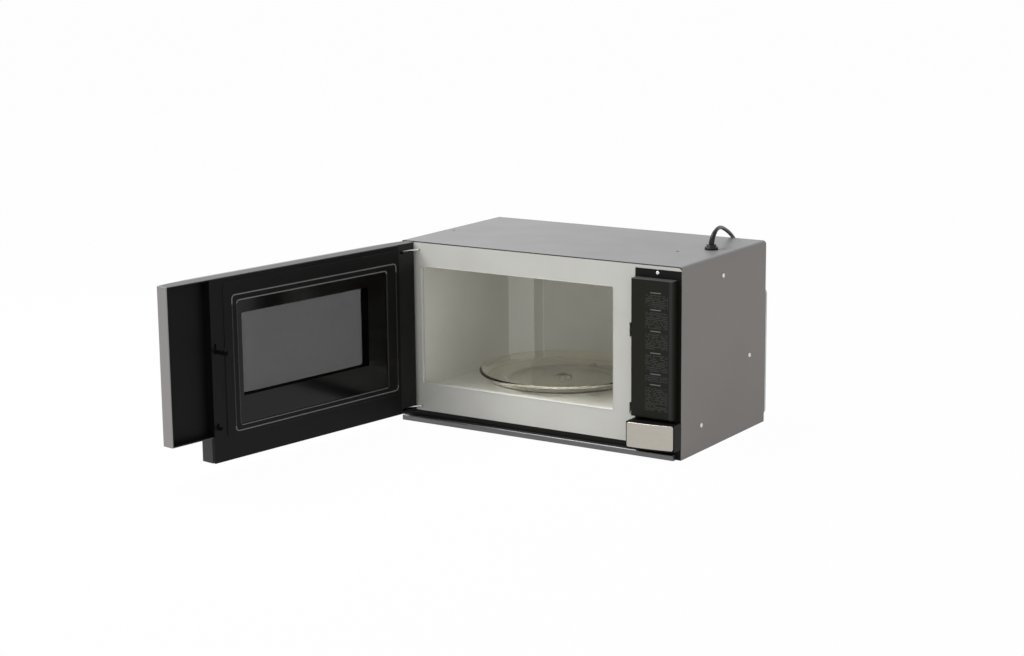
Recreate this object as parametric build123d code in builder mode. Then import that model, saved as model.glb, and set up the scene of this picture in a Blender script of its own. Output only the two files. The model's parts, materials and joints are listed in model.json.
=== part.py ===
from build123d import *
import math
import os

# Built-in microwave oven with a side-hinged door, millimetres, +Z up, the front facing -Y.
# The origin is the centre of the base's underside. The door stands open, and its pieces are
# dimensioned as if it were shut, on planes that are swung open about the hinge axis.

# Case
WIDTH = 606.0
DEPTH = 332.0
HEIGHT = 350.0
SHEET = 1.0
CASE_BEND = 7.0
LIP_DEPTH = 2.15
FRONT = -DEPTH / 2
REAR = DEPTH / 2
SIDE = WIDTH / 2
INSIDE = SIDE - SHEET
CEILING = HEIGHT - SHEET
SEAM = 0.2
SCREW_HOLE_R = 2.0
SCREW_PLACES = ((-9.7, HEIGHT - 39.0), (REAR - 66.0, 142.6), (FRONT + 75.0, 49.0))

# Oven: opening in the flange, and the box behind it
OPENING_LEFT, OPENING_RIGHT = -258.5, 163.5
OPENING_BOTTOM, OPENING_TOP = 75.0, HEIGHT - 46.5
OPENING_CORNER = 4.0
OVEN_FLOOR = 64.0
OVEN_BACK = REAR - 27.0
RECESS_LEFT, RECESS_RIGHT = -197.5, 102.5
RECESS_TOP = OPENING_TOP - 51.5
RECESS_BACK = REAR + 6.0
OVEN_SHEET = 1.0

# Front: flange, black plate, sill and trim
FLANGE_BOTTOM = 22.0
PLATE_LEFT = 208.7
PLATE_TOP = HEIGHT - 8.0
PLATE_SHEET = 1.5
PLATE_SCREW_X, PLATE_SCREW_Z = 254.4, PLATE_TOP - 6.0
PLATE_SCREW_R = 1.5
SILL_DEPTH = 3.0
TRIM_LEFT, TRIM_RIGHT = -299.0, 292.5
TRIM_HEIGHT = 11.0
TRIM_DEPTH = 12.0
PANEL_LEFT, PANEL_RIGHT = 210.2, 293.5
PANEL_BOTTOM, PANEL_TOP = 75.0, PLATE_TOP - 16.0
PANEL_PROUD = 18.0
PANEL_WALL = 2.0
SLOT_LEFT, SLOT_RIGHT = 197.0, 206.5
PEG_HOLE_X, PEG_HOLE_R = -270.4, 1.8
UPPER_SLOT = (HEIGHT - 135.0, HEIGHT - 109.0)
LOWER_SLOT = (73.0, 95.0)

# Rear cover
BULGE_SIDE = 296.0
BULGE_BOTTOM, BULGE_TOP = 7.0, HEIGHT - 94.0
BULGE_DEPTH = 22.5
BULGE_CORNER = 12.0
BULGE_EDGE = 2.0
FAN_X, FAN_Z = 234.0, BULGE_TOP - 60.0

# Door, dimensioned shut
HINGE_X = -283.4
HINGE_FORWARD = 20.0
HINGE_Y = FRONT - HINGE_FORWARD
DOOR_OPEN = 98.83
DOOR_GAP = 1.0
DOOR_LEFT, DOOR_RIGHT = -300.9, 301.2
DOOR_BOTTOM, DOOR_TOP = 22.7, HEIGHT - 0.4
DOOR_THICK = 37.66
DOOR_BOW = 9.7
BOW_LENGTH = 95.0
SKIN = 1.0
RIM_Y = FRONT - 4.6
DOOR_BACK = FRONT - DOOR_GAP
HINGE_SWING = 19.5
CHOKE_LEFT, CHOKE_RIGHT = -253.0, 208.4
CONTROL_BOTTOM = 69.75
DOOR_CAP = 2.6

# Windows of the door
PANE = (-196.0, 146.0, 84.0, DOOR_TOP - 43.6)
PANE_THICK = 3.0
BEZEL_HOLE = (-219.0, 149.6, 82.0, DOOR_TOP - 43.6)
SCREEN = (-176.0, 144.0, 127.0, DOOR_TOP - 61.6)
GLASS_BORDER = 6.5
FASCIA = (217.0, 289.0, 92.0, DOOR_TOP - 11.6)
FASCIA_THICK = 2.4

# Hinges
PIN_R = 3.0
PIN_CLEARANCE = 0.05
EYE_R = 6.5
BUSH_R = 6.0
UPPER_HINGE_Z, LOWER_HINGE_Z = DOOR_TOP - 16.6, DOOR_BOTTOM + 6.3
HINGE_PLATE = 2.2
HINGE_RIGHT = -262.0
PIN_LENGTH = 13.0
BUSH_LENGTH = 13.0

# Latch
HOOK_X = 199.5
HOOK_THICK = 3.0
UPPER_HOOK = (UPPER_SLOT[0] + 4.0, UPPER_SLOT[0] + 11.0)
LOWER_HOOK = (LOWER_SLOT[0] + 10.0, LOWER_SLOT[0] + 16.0)
UPPER_REACH = 32.0
LOWER_REACH = 11.0
LATCH_LIFT = 4.5

# Button and release
BUTTON_LEFT, BUTTON_RIGHT = 212.4, 301.2
BUTTON_BOTTOM, BUTTON_TOP = 22.8, 68.1
BUTTON_TRAVEL = 6.0
BUTTON_GAP = 0.4
BEZEL_BACK = 1.4
RELEASE_RATIO = 0.75

# Turntable
TURN_X, TURN_Y = (OPENING_LEFT + OPENING_RIGHT) / 2, OVEN_BACK - 133.0
TRAY_R = 162.0
TRAY_FLAT_R = 148.0
TRAY_GLASS = 5.0
TRAY_RIM_TOP = 96.0
ROLLER_R = 7.35
ROLLER_WIDTH = 7.0
TRACK_R = 113.5
ROLLER_COUNT = 3
SEAT = 0.3
SHAFT_R = 3.0

# Mounting bolts in the top
BOLT_X1, BOLT_X2, BOLT_Y = -278.7, 216.7, -23.0
BOLT_R = 3.3

# Mains lead
CORD_R = 3.6
BUSHING_X, BUSHING_Y = 260.0, REAR - 140.0
BUSHING_R = 12.5
BUSHING_TOP = 10.0
COIL_X, COIL_Y = 100.0, REAR + 79.0
COIL_R = 44.0
COIL_PITCH = 9.2
COIL_RISE = 7.8
PLUG_R = 11.0


def slab(x, y, z, mode=Mode.ADD):
    """A box between three pairs of limits, in the part being built."""
    middle = ((x[0] + x[1]) / 2, (y[0] + y[1]) / 2, (z[0] + z[1]) / 2)
    with Locations(middle):
        Box(x[1] - x[0], y[1] - y[0], z[1] - z[0], mode=mode)


def from_front(y):
    """A plane at depth y, seen from the front: X to the right, Z up, normal to the front."""
    return Plane(origin=(0, y, 0), x_dir=(1, 0, 0), z_dir=(0, -1, 0))


def from_side(x):
    """A plane at width x, seen from the right: Y to the right, Z up, normal to the right."""
    return Plane(origin=(x, 0, 0), x_dir=(0, 1, 0), z_dir=(1, 0, 0))


def window(limits, plane, corner):
    """A rounded rectangle between (left, right, bottom, top), on a plane."""
    left, right, bottom, top = limits
    with BuildSketch(plane) as frame:
        with Locations(((left + right) / 2, (bottom + top) / 2)):
            RectangleRounded(right - left, top - bottom, corner)
    return frame.sketch


# The shut door's own XY plane, swung open about the hinge axis
SWING = (
    Location((HINGE_X, HINGE_Y, 0)) * Location((0, 0, 0), (0, 0, -DOOR_OPEN)) * Location((-HINGE_X, -HINGE_Y, 0))
)
DOOR = Plane(SWING)


def on_door(plane):
    """A plane of the shut door, swung open with it."""
    return Plane(SWING * plane.location)


# The door's front is flat in the middle and falls back along an arc at each end
BOW_MIDDLE = (DOOR_LEFT + DOOR_RIGHT) / 2
FLAT_HALF = (DOOR_RIGHT - DOOR_LEFT) / 2 - BOW_LENGTH
BOW_R = (BOW_LENGTH**2 + DOOR_BOW**2) / (2 * DOOR_BOW)
DOOR_FRONT = FRONT - DOOR_THICK


def front_y(x, inset=0.0):
    """Depth of the door's bowed front at x, moved in by inset."""
    past = max(abs(x - BOW_MIDDLE) - FLAT_HALF, 0)
    return DOOR_FRONT + BOW_R - math.sqrt((BOW_R - inset) ** 2 - past**2)


def bowed_plan(plane, left, right, inset, rear):
    """Plan of a piece behind the bowed front, from left to right and back to rear."""
    flat_left = BOW_MIDDLE - FLAT_HALF
    flat_right = BOW_MIDDLE + FLAT_HALF
    stops = [left]
    stops += [x for x in (flat_left, flat_right) if left < x < right]
    stops += [right]
    with BuildSketch(plane) as plan:
        with BuildLine():
            for start, end in zip(stops, stops[1:]):
                middle = (start + end) / 2
                if abs(middle - BOW_MIDDLE) < FLAT_HALF:
                    Line((start, front_y(start, inset)), (end, front_y(end, inset)))
                else:
                    points = [(x, front_y(x, inset)) for x in (start, middle, end)]
                    ThreePointArc(*points)
            Polyline(
                (right, front_y(right, inset)),
                (right, rear),
                (left, rear),
                (left, front_y(left, inset)),
            )
        make_face()
    return plan.sketch


# Outer case: one sheet bent over the top and both sides
with BuildPart() as outer_case:
    with BuildSketch(from_front(REAR)):
        with BuildLine():
            FilletPolyline(
                (-SIDE, 0),
                (-SIDE, HEIGHT),
                (SIDE, HEIGHT),
                (SIDE, 0),
                radius=CASE_BEND,
            )
            Line((SIDE, 0), (INSIDE, 0))
            FilletPolyline(
                (INSIDE, 0),
                (INSIDE, CEILING),
                (-INSIDE, CEILING),
                (-INSIDE, 0),
                radius=CASE_BEND - SHEET,
            )
            Line((-INSIDE, 0), (-SIDE, 0))
        make_face()
    extrude(amount=DEPTH)
    slab(
        (-INSIDE + CASE_BEND, INSIDE - CASE_BEND),
        (FRONT, FRONT + SHEET),
        (HEIGHT - LIP_DEPTH, HEIGHT - SHEET / 2),
    )
    # Bolt holes and the cord's hole in the top
    with Locations((BOLT_X1, BOLT_Y, HEIGHT), (BOLT_X2, BOLT_Y, HEIGHT)):
        Hole(BOLT_R, depth=2 * SHEET)
    with Locations((BUSHING_X, BUSHING_Y, HEIGHT)):
        Hole(BUSHING_R - 3, depth=2 * SHEET)
    # Screw holes in the sides
    for y, z in SCREW_PLACES:
        with Locations(Location((SIDE + SHEET, y, z), (0, 90, 0))):
            Hole(SCREW_HOLE_R, depth=2 * SIDE + 2 * SHEET)
outer_case.part.label = "outer_case"

SCREW_HEAD_R, SCREW_HEAD = 4.0, 2.2
with BuildPart() as case_screws:
    for side in (1, -1):
        for y, z in SCREW_PLACES:
            with BuildSketch(Plane(origin=(side * SIDE, y, z), z_dir=(side, 0, 0))):
                Circle(SCREW_HEAD_R)
            extrude(amount=SCREW_HEAD, taper=20)
            with BuildSketch(Plane(origin=(side * SIDE, y, z), z_dir=(-side, 0, 0))):
                Circle(SCREW_HOLE_R - 0.1)
            extrude(amount=8.0)
    # The bright screw at the top of the black plate
    with BuildSketch(from_front(FRONT)):
        with Locations((PLATE_SCREW_X, PLATE_SCREW_Z)):
            Circle(3.4)
    extrude(amount=2.2, taper=20)
    with BuildSketch(from_front(FRONT)):
        with Locations((PLATE_SCREW_X, PLATE_SCREW_Z)):
            Circle(PLATE_SCREW_R)
    extrude(amount=-9.0)
case_screws.part.label = "case_screws"

with BuildPart() as mount_nuts:
    for x in (BOLT_X1, BOLT_X2):
        with BuildSketch(Plane.XY.offset(CEILING)):
            with Locations((x, BOLT_Y)):
                RegularPolygon(5.6, 6, major_radius=False)
                Circle(BOLT_R, mode=Mode.SUBTRACT)
        extrude(amount=-7.0)
mount_nuts.part.label = "mount_nuts"

# Base plate with inlet slots under the transformer
BASE_FRONT = FRONT + SILL_DEPTH
INLET_X = 236.0
with BuildPart() as base_plate:
    slab((-INSIDE, INSIDE), (BASE_FRONT, REAR - SHEET), (0, SHEET))
    with BuildSketch(Plane.XY):
        with Locations((INLET_X, REAR - 56.0), (-120.0, -60.0), (-120.0, 60.0)):
            with GridLocations(9.0, 1, 12, 1):
                SlotOverall(44.0, 4.0, rotation=90)
    extrude(amount=SHEET, mode=Mode.SUBTRACT)
base_plate.part.label = "base_plate"

# Rear cover with its shallow bulge
with BuildPart() as rear_panel:
    slab((-INSIDE, INSIDE), (REAR - SHEET, REAR), (0, CEILING))
    fillet(rear_panel.edges().filter_by(Axis.Y).group_by(Axis.Z)[-1], CASE_BEND)
    add(
        extrude(
            window((-BULGE_SIDE, BULGE_SIDE, BULGE_BOTTOM, BULGE_TOP), from_front(REAR), BULGE_CORNER),
            amount=-BULGE_DEPTH,
            mode=Mode.PRIVATE,
        )
    )
    fillet(rear_panel.faces().sort_by(Axis.Y)[-1].edges(), BULGE_EDGE)
    inner = (
        -BULGE_SIDE + SHEET,
        BULGE_SIDE - SHEET,
        BULGE_BOTTOM + SHEET,
        BULGE_TOP - SHEET,
    )
    hollow = window(inner, from_front(REAR - SHEET), BULGE_CORNER - SHEET)
    extrude(hollow, amount=-BULGE_DEPTH, mode=Mode.SUBTRACT)
    # Fan grille and exhaust slots
    with BuildSketch(from_front(REAR + BULGE_DEPTH)):
        with Locations((FAN_X, FAN_Z)):
            with GridLocations(9.0, 32.0, 11, 3):
                SlotOverall(26.0, 4.5, rotation=90)
    extrude(amount=2 * SHEET, mode=Mode.SUBTRACT)
    with BuildSketch(from_front(REAR)):
        with Locations((-200.0, HEIGHT - 48.0)):
            with GridLocations(9.0, 1, 16, 1):
                SlotOverall(44.0, 4.5, rotation=90)
    extrude(amount=2 * SHEET, mode=Mode.SUBTRACT)
rear_panel.part.label = "rear_panel"

# Front flange around the oven's opening, carried over the black plate by a strip
FLANGE_TOP = HEIGHT - LIP_DEPTH
HINGE_SLIT = (HINGE_X - SEAM - 1.0, HINGE_RIGHT + 2.6)
PEG_HOLE_Z = LOWER_HINGE_Z + 15.2
with BuildPart() as front_flange:
    slab((-INSIDE, INSIDE), (FRONT, FRONT + SHEET), (FLANGE_BOTTOM, FLANGE_TOP))
    fillet(front_flange.edges().filter_by(Axis.Y).group_by(Axis.Z)[-1], CASE_BEND)
    slab((PLATE_LEFT - SEAM, SIDE), (FRONT, FRONT + SHEET), (FLANGE_BOTTOM, PLATE_TOP), Mode.SUBTRACT)
    opening = window(
        (OPENING_LEFT, OPENING_RIGHT, OPENING_BOTTOM, OPENING_TOP),
        from_front(FRONT),
        OPENING_CORNER,
    )
    extrude(opening, amount=-SHEET, mode=Mode.SUBTRACT)
    for low, high in (UPPER_SLOT, LOWER_SLOT):
        slab((SLOT_LEFT, SLOT_RIGHT), (FRONT, FRONT + SHEET), (low, high), Mode.SUBTRACT)
    for z in (UPPER_HINGE_Z, LOWER_HINGE_Z):
        slab(HINGE_SLIT, (FRONT, FRONT + SHEET), (z - SEAM, z + HINGE_PLATE + SEAM), Mode.SUBTRACT)
    with BuildSketch(from_front(FRONT)):
        with Locations((PEG_HOLE_X, PEG_HOLE_Z)):
            Circle(PEG_HOLE_R)
    extrude(amount=-SHEET, mode=Mode.SUBTRACT)
front_flange.part.label = "front_flange"

# Oven cavity: a folded box open to the front, with a recess in its rear wall
BOX_FRONT = FRONT + SHEET
FEED_Y, FEED_Z = OVEN_BACK - 124.0, OPENING_TOP - 103.5
LAMP_Y, LAMP_Z = OVEN_BACK - 34.0, OPENING_TOP - 28.5
FEED_HALF = 35.0
AIR_HOLE_R = 2.4
with BuildPart() as oven_cavity:
    slab(
        (OPENING_LEFT - OVEN_SHEET, OPENING_RIGHT + OVEN_SHEET),
        (BOX_FRONT, OVEN_BACK + OVEN_SHEET),
        (OVEN_FLOOR - OVEN_SHEET, OPENING_TOP + OVEN_SHEET),
    )
    slab(
        (RECESS_LEFT - OVEN_SHEET, RECESS_RIGHT + OVEN_SHEET),
        (OVEN_BACK, RECESS_BACK + OVEN_SHEET),
        (OVEN_FLOOR - OVEN_SHEET, RECESS_TOP + OVEN_SHEET),
    )
    slab((OPENING_LEFT, OPENING_RIGHT), (BOX_FRONT, OVEN_BACK), (OVEN_FLOOR, OPENING_TOP), Mode.SUBTRACT)
    slab((RECESS_LEFT, RECESS_RIGHT), (OVEN_BACK, RECESS_BACK), (OVEN_FLOOR, RECESS_TOP), Mode.SUBTRACT)
    # Shaft hole, microwave port, lamp and air holes, exhaust holes
    with Locations((TURN_X, TURN_Y, OVEN_FLOOR)):
        Hole(SHAFT_R + 2, depth=2 * OVEN_SHEET)
    slab(
        (OPENING_RIGHT, OPENING_RIGHT + OVEN_SHEET),
        (FEED_Y - FEED_HALF, FEED_Y + FEED_HALF),
        (FEED_Z - FEED_HALF, FEED_Z + FEED_HALF),
        Mode.SUBTRACT,
    )
    with BuildSketch(from_side(OPENING_RIGHT)):
        with Locations((LAMP_Y, LAMP_Z)):
            with GridLocations(6.0, 6.0, 5, 5):
                Circle(2.0)
        with Locations((FRONT + 66.0, FEED_Z)):
            with GridLocations(7.0, 7.0, 6, 8):
                Circle(AIR_HOLE_R)
    extrude(amount=OVEN_SHEET, mode=Mode.SUBTRACT)
    with BuildSketch(Plane.XY.offset(OPENING_TOP)):
        with Locations((-180.0, OVEN_BACK - 39.0)):
            with GridLocations(7.0, 7.0, 9, 6):
                Circle(AIR_HOLE_R)
    extrude(amount=OVEN_SHEET, mode=Mode.SUBTRACT)
oven_cavity.part.label = "oven_cavity"

# Microwave feed: cover plate, duct and magnetron
DUCT_DEPTH = 40.0
DUCT_LEFT = OPENING_RIGHT + OVEN_SHEET
DUCT_RIGHT = DUCT_LEFT + DUCT_DEPTH
ANTENNA_R = 8.0
with BuildPart() as waveguide_cover:
    slab((OPENING_RIGHT - 1, OPENING_RIGHT), (FEED_Y - 47, FEED_Y + 47), (FEED_Z - 47, FEED_Z + 47))
waveguide_cover.part.label = "waveguide_cover"

with BuildPart() as waveguide:
    slab((DUCT_LEFT, DUCT_RIGHT), (FEED_Y - 45, FEED_Y + 45), (FEED_Z - 45, FEED_Z + 45))
    slab((DUCT_LEFT, DUCT_LEFT + SHEET), (FEED_Y - 53, FEED_Y + 53), (FEED_Z - 53, FEED_Z + 53))
    slab(
        (DUCT_LEFT, DUCT_RIGHT - SHEET),
        (FEED_Y - 44, FEED_Y + 44),
        (FEED_Z - 44, FEED_Z + 44),
        Mode.SUBTRACT,
    )
    with BuildSketch(from_side(DUCT_RIGHT)):
        with Locations((FEED_Y, FEED_Z)):
            Circle(ANTENNA_R + 3)
    extrude(amount=-2 * SHEET, mode=Mode.SUBTRACT)
waveguide.part.label = "waveguide"

YOKE = 1.6
YOKE_DEPTH = 62.0
with BuildPart() as magnetron:
    slab((DUCT_RIGHT, DUCT_RIGHT + YOKE_DEPTH), (FEED_Y - 45, FEED_Y + 45), (FEED_Z - 40, FEED_Z + 40))
    slab(
        (DUCT_RIGHT + YOKE, DUCT_RIGHT + YOKE_DEPTH - YOKE),
        (FEED_Y - 45 + YOKE, FEED_Y + 45 - YOKE),
        (FEED_Z - 40, FEED_Z + 40),
        Mode.SUBTRACT,
    )
    # Anode block along X, with its fins and two ring magnets
    with BuildSketch(from_side(DUCT_RIGHT + YOKE / 2)):
        with Locations((FEED_Y, FEED_Z)):
            Circle(20.0)
    extrude(amount=YOKE_DEPTH - YOKE)
    with BuildSketch(from_side(DUCT_RIGHT + YOKE / 2)):
        with Locations((FEED_Y, FEED_Z)):
            Circle(28.0)
    extrude(amount=13.0)
    with BuildSketch(from_side(DUCT_RIGHT + YOKE_DEPTH - YOKE / 2)):
        with Locations((FEED_Y, FEED_Z)):
            Circle(28.0)
    extrude(amount=-13.0)
    for step in range(6):
        x = DUCT_RIGHT + 18 + 5.2 * step
        slab((x, x + 0.8), (FEED_Y - 45 + YOKE / 2, FEED_Y + 45 - YOKE / 2), (FEED_Z - 38, FEED_Z + 38))
    # Antenna into the duct, and the filter box below
    with BuildSketch(from_side(DUCT_RIGHT + YOKE / 2)):
        with Locations((FEED_Y, FEED_Z)):
            Circle(ANTENNA_R)
    extrude(amount=-26.0)
    slab(
        (DUCT_RIGHT + YOKE, DUCT_RIGHT + 50),
        (FEED_Y - 30, FEED_Y + 30),
        (FEED_Z - 62, FEED_Z - 37),
    )
magnetron.part.label = "magnetron"

# High-voltage transformer on the base plate
CORE_X, CORE_Y = 236.0, -30.0
CORE_W, CORE_H, CORE_D = 94.0, 78.0, 62.0
LEG = 30.0
YOKE_BAR = 16.0
WINDOW_H = CORE_H - 2 * YOKE_BAR
WINDOW_W = (CORE_W - LEG - 2 * YOKE_BAR) / 2
with BuildPart() as transformer_core:
    slab(
        (CORE_X - CORE_W / 2, CORE_X + CORE_W / 2),
        (CORE_Y - CORE_D / 2, CORE_Y + CORE_D / 2),
        (SHEET, SHEET + CORE_H),
    )
    with BuildSketch(from_front(CORE_Y - CORE_D / 2)):
        with Locations((CORE_X, SHEET + CORE_H / 2)):
            with GridLocations(LEG + WINDOW_W, 1, 2, 1):
                Rectangle(WINDOW_W, WINDOW_H)
    extrude(amount=-CORE_D, mode=Mode.SUBTRACT)
    slab(
        (CORE_X - CORE_W / 2 - 8, CORE_X + CORE_W / 2 + 8),
        (CORE_Y - CORE_D / 2, CORE_Y + CORE_D / 2),
        (SHEET, SHEET + 3),
    )
transformer_core.part.label = "transformer_core"

with BuildPart() as transformer_coil:
    with BuildSketch(Plane.XY.offset(SHEET + YOKE_BAR + SEAT)):
        with Locations((CORE_X, CORE_Y)):
            RectangleRounded(LEG + 2 * WINDOW_W - 2 * SEAT, CORE_D + 2 * WINDOW_W, 10.0)
            Rectangle(LEG + 2 * SEAT, CORE_D + 2 * SEAT, mode=Mode.SUBTRACT)
    extrude(amount=WINDOW_H - 2 * SEAT)
transformer_coil.part.label = "transformer_coil"

CAN_X, CAN_Y, CAN_HIGH = 225.0, REAR - 104.0, 58.0
with BuildPart() as hv_capacitor:
    with BuildSketch(Plane.XY.offset(SHEET)):
        with Locations((CAN_X, CAN_Y)):
            SlotOverall(94.0, 34.0)
    extrude(amount=CAN_HIGH)
    with BuildSketch(Plane.XY.offset(SHEET + CAN_HIGH)):
        with Locations((CAN_X, CAN_Y)):
            with GridLocations(34.0, 1, 2, 1):
                Circle(5.0)
    extrude(amount=6.0)
    for x in (CAN_X - 17, CAN_X + 17):
        slab((x - 0.4, x + 0.4), (CAN_Y - 3, CAN_Y + 3), (SHEET + CAN_HIGH + 4, SHEET + CAN_HIGH + 16))
hv_capacitor.part.label = "hv_capacitor"

DIODE_X, DIODE_LENGTH = 278.0, 16.0
with BuildPart() as hv_diode:
    with BuildSketch(from_side(DIODE_X)):
        with Locations((CAN_Y, SHEET + 4.0)):
            Circle(4.0)
    extrude(amount=DIODE_LENGTH)
    slab((DIODE_X, DIODE_X + DIODE_LENGTH), (CAN_Y - 4, CAN_Y + 4), (SHEET, SHEET + 4.0))
hv_diode.part.label = "hv_diode"

# Cooling fan behind the grille
FAN_R = 46.0
SHROUD = 108.0
SHROUD_FRONT = REAR - 38.0
SHROUD_WALL = 2.0
BULGE_INSIDE = REAR + BULGE_DEPTH - SHEET
MOTOR_FRONT = REAR - 4.0
with BuildPart() as fan_shroud:
    slab(
        (FAN_X - SHROUD / 2, FAN_X + SHROUD / 2),
        (SHROUD_FRONT, BULGE_INSIDE),
        (FAN_Z - SHROUD / 2, FAN_Z + SHROUD / 2),
    )
    slab(
        (FAN_X - SHROUD / 2 + SHROUD_WALL, FAN_X + SHROUD / 2 - SHROUD_WALL),
        (SHROUD_FRONT + SHROUD_WALL, BULGE_INSIDE),
        (FAN_Z - SHROUD / 2 + SHROUD_WALL, FAN_Z + SHROUD / 2 - SHROUD_WALL),
        Mode.SUBTRACT,
    )
    with BuildSketch(from_front(SHROUD_FRONT)):
        with Locations((FAN_X, FAN_Z)):
            Circle(FAN_R + 3)
    extrude(amount=-SHROUD_WALL, mode=Mode.SUBTRACT)
    # Bar across the shroud that carries the motor
    slab(
        (FAN_X - SHROUD / 2 + SHROUD_WALL / 2, FAN_X + SHROUD / 2 - SHROUD_WALL / 2),
        (MOTOR_FRONT + 16, MOTOR_FRONT + 19),
        (FAN_Z - 8, FAN_Z + 8),
    )
fan_shroud.part.label = "fan_shroud"

FAN_SHAFT_R = 2.5
with BuildPart() as fan_motor:
    with BuildSketch(from_front(MOTOR_FRONT)):
        with Locations((FAN_X, FAN_Z)):
            Circle(21.0)
    extrude(amount=-16.0)
    with BuildSketch(from_front(MOTOR_FRONT)):
        with Locations((FAN_X, FAN_Z)):
            Circle(FAN_SHAFT_R)
    extrude(amount=26.0)
fan_motor.part.label = "fan_motor"

BLADE_COUNT = 5
with BuildPart() as fan_blade:
    with BuildSketch(from_front(MOTOR_FRONT - 1)):
        with Locations((FAN_X, FAN_Z)):
            Circle(12.0)
    extrude(amount=22.0)
    for index in range(BLADE_COUNT):
        turn = 360 / BLADE_COUNT * index
        hub = Location((FAN_X, MOTOR_FRONT - 12, FAN_Z), (0, turn, 0))
        with Locations(hub * Location((0, 0, 28.0), (0, 0, 32.0))):
            Box(30.0, 1.6, FAN_R - 10)
    with BuildSketch(from_front(MOTOR_FRONT)):
        with Locations((FAN_X, FAN_Z)):
            Circle(FAN_SHAFT_R + PIN_CLEARANCE)
    extrude(amount=30.0, mode=Mode.SUBTRACT)
fan_blade.part.label = "fan_blade"

# Lamp beside the cavity, shining in through its holes
with BuildPart() as lamp_socket:
    slab((DUCT_LEFT, DUCT_LEFT + 1.2), (LAMP_Y - 26, LAMP_Y + 26), (LAMP_Z - 22, LAMP_Z + 22))
    slab((DUCT_LEFT, DUCT_LEFT + 1.2), (LAMP_Y - 16, LAMP_Y + 16), (LAMP_Z - 16, LAMP_Z + 16), Mode.SUBTRACT)
    slab((DUCT_LEFT, DUCT_LEFT + 52), (LAMP_Y + 16, LAMP_Y + 18), (LAMP_Z - 16, LAMP_Z + 16))
    slab((DUCT_LEFT + 50, DUCT_LEFT + 52), (LAMP_Y - 16, LAMP_Y + 18), (LAMP_Z - 16, LAMP_Z + 16))
    with BuildSketch(from_side(DUCT_LEFT + 51)):
        with Locations((LAMP_Y, LAMP_Z)):
            Circle(13.0)
    extrude(amount=-21.0)
lamp_socket.part.label = "lamp_socket"

with BuildPart() as oven_lamp:
    with BuildSketch(from_side(DUCT_LEFT + 30)):
        with Locations((LAMP_Y, LAMP_Z)):
            Circle(10.0)
    extrude(amount=-24.0)
    fillet(oven_lamp.faces().sort_by(Axis.X)[0].edges(), 8.0)
oven_lamp.part.label = "oven_lamp"

# Noise filter board on the rear cover, above the bulge
FILTER_X, FILTER_Y, FILTER_Z = 210.0, REAR - 18.0, HEIGHT - 52.0
with BuildPart() as filter_board:
    slab((FILTER_X - 35, FILTER_X + 35), (FILTER_Y, FILTER_Y + 1.6), (FILTER_Z - 30, FILTER_Z + 30))
    with BuildSketch(from_front(FILTER_Y + 1)):
        with Locations((FILTER_X, FILTER_Z)):
            with GridLocations(60.0, 50.0, 2, 2):
                Circle(2.5)
    extrude(amount=-(REAR - SHEET - FILTER_Y - 1))
    with BuildSketch(from_front(FILTER_Y + 1)):
        with Locations((FILTER_X + 18, FILTER_Z + 14)):
            Circle(11.0)
    extrude(amount=13.0)
    slab((FILTER_X - 28, FILTER_X - 2), (FILTER_Y - 12, FILTER_Y + 1), (FILTER_Z + 4, FILTER_Z + 20))
    slab((FILTER_X - 26, FILTER_X + 26), (FILTER_Y - 8, FILTER_Y + 1), (FILTER_Z - 22, FILTER_Z - 14))
filter_board.part.label = "filter_board"

# Relay board behind the black plate
PLATE_BACK = FRONT + PLATE_SHEET
BOARD_X, BOARD_Z = 256.0, HEIGHT - 125.0
BOARD_Y = PLATE_BACK + 9
with BuildPart() as power_board:
    slab((BOARD_X - 40, BOARD_X + 40), (BOARD_Y, BOARD_Y + 1.6), (BOARD_Z - 75, BOARD_Z + 75))
    with BuildSketch(from_front(PLATE_BACK)):
        with Locations((BOARD_X, BOARD_Z)):
            with GridLocations(70.0, 140.0, 2, 2):
                Circle(2.5)
    extrude(amount=-9.8)
    for x in (BOARD_X - 24, BOARD_X, BOARD_X + 24):
        slab((x - 9, x + 9), (BOARD_Y + 1, BOARD_Y + 17), (BOARD_Z + 43, BOARD_Z + 67))
    slab((BOARD_X - 30, BOARD_X + 6), (BOARD_Y + 1, BOARD_Y + 31), (BOARD_Z - 55, BOARD_Z - 23))
power_board.part.label = "power_board"

THERMOSTAT_X, THERMOSTAT_Y = 110.0, 60.0
with BuildPart() as thermostat:
    with BuildSketch(Plane.XY.offset(OPENING_TOP + OVEN_SHEET)):
        with Locations((THERMOSTAT_X, THERMOSTAT_Y)):
            Circle(9.0)
    extrude(amount=9.0)
    for x in (THERMOSTAT_X - 4, THERMOSTAT_X + 4):
        slab(
            (x - 0.4, x + 0.4),
            (THERMOSTAT_Y - 3, THERMOSTAT_Y + 3),
            (OPENING_TOP + OVEN_SHEET + 9, OPENING_TOP + OVEN_SHEET + 17),
        )
thermostat.part.label = "thermostat"

# Turntable drive
TRAY_UNDER = OVEN_FLOOR + SEAT + 2 * ROLLER_R + SEAT
MOTOR_TOP = OVEN_FLOOR - OVEN_SHEET
with BuildPart() as turntable_motor:
    with BuildSketch(Plane.XY.offset(MOTOR_TOP)):
        with Locations((TURN_X, TURN_Y)):
            Circle(24.0)
            with GridLocations(58.0, 1, 2, 1):
                Circle(5.0)
            Rectangle(58.0, 10.0)
    extrude(amount=-3.0)
    with BuildSketch(Plane.XY.offset(MOTOR_TOP)):
        with Locations((TURN_X, TURN_Y)):
            Circle(24.0)
    extrude(amount=-15.0)
    with BuildSketch(Plane.XY.offset(MOTOR_TOP - 1)):
        with Locations((TURN_X, TURN_Y)):
            Circle(SHAFT_R)
    extrude(amount=12.0)
turntable_motor.part.label = "turntable_motor"

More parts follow.
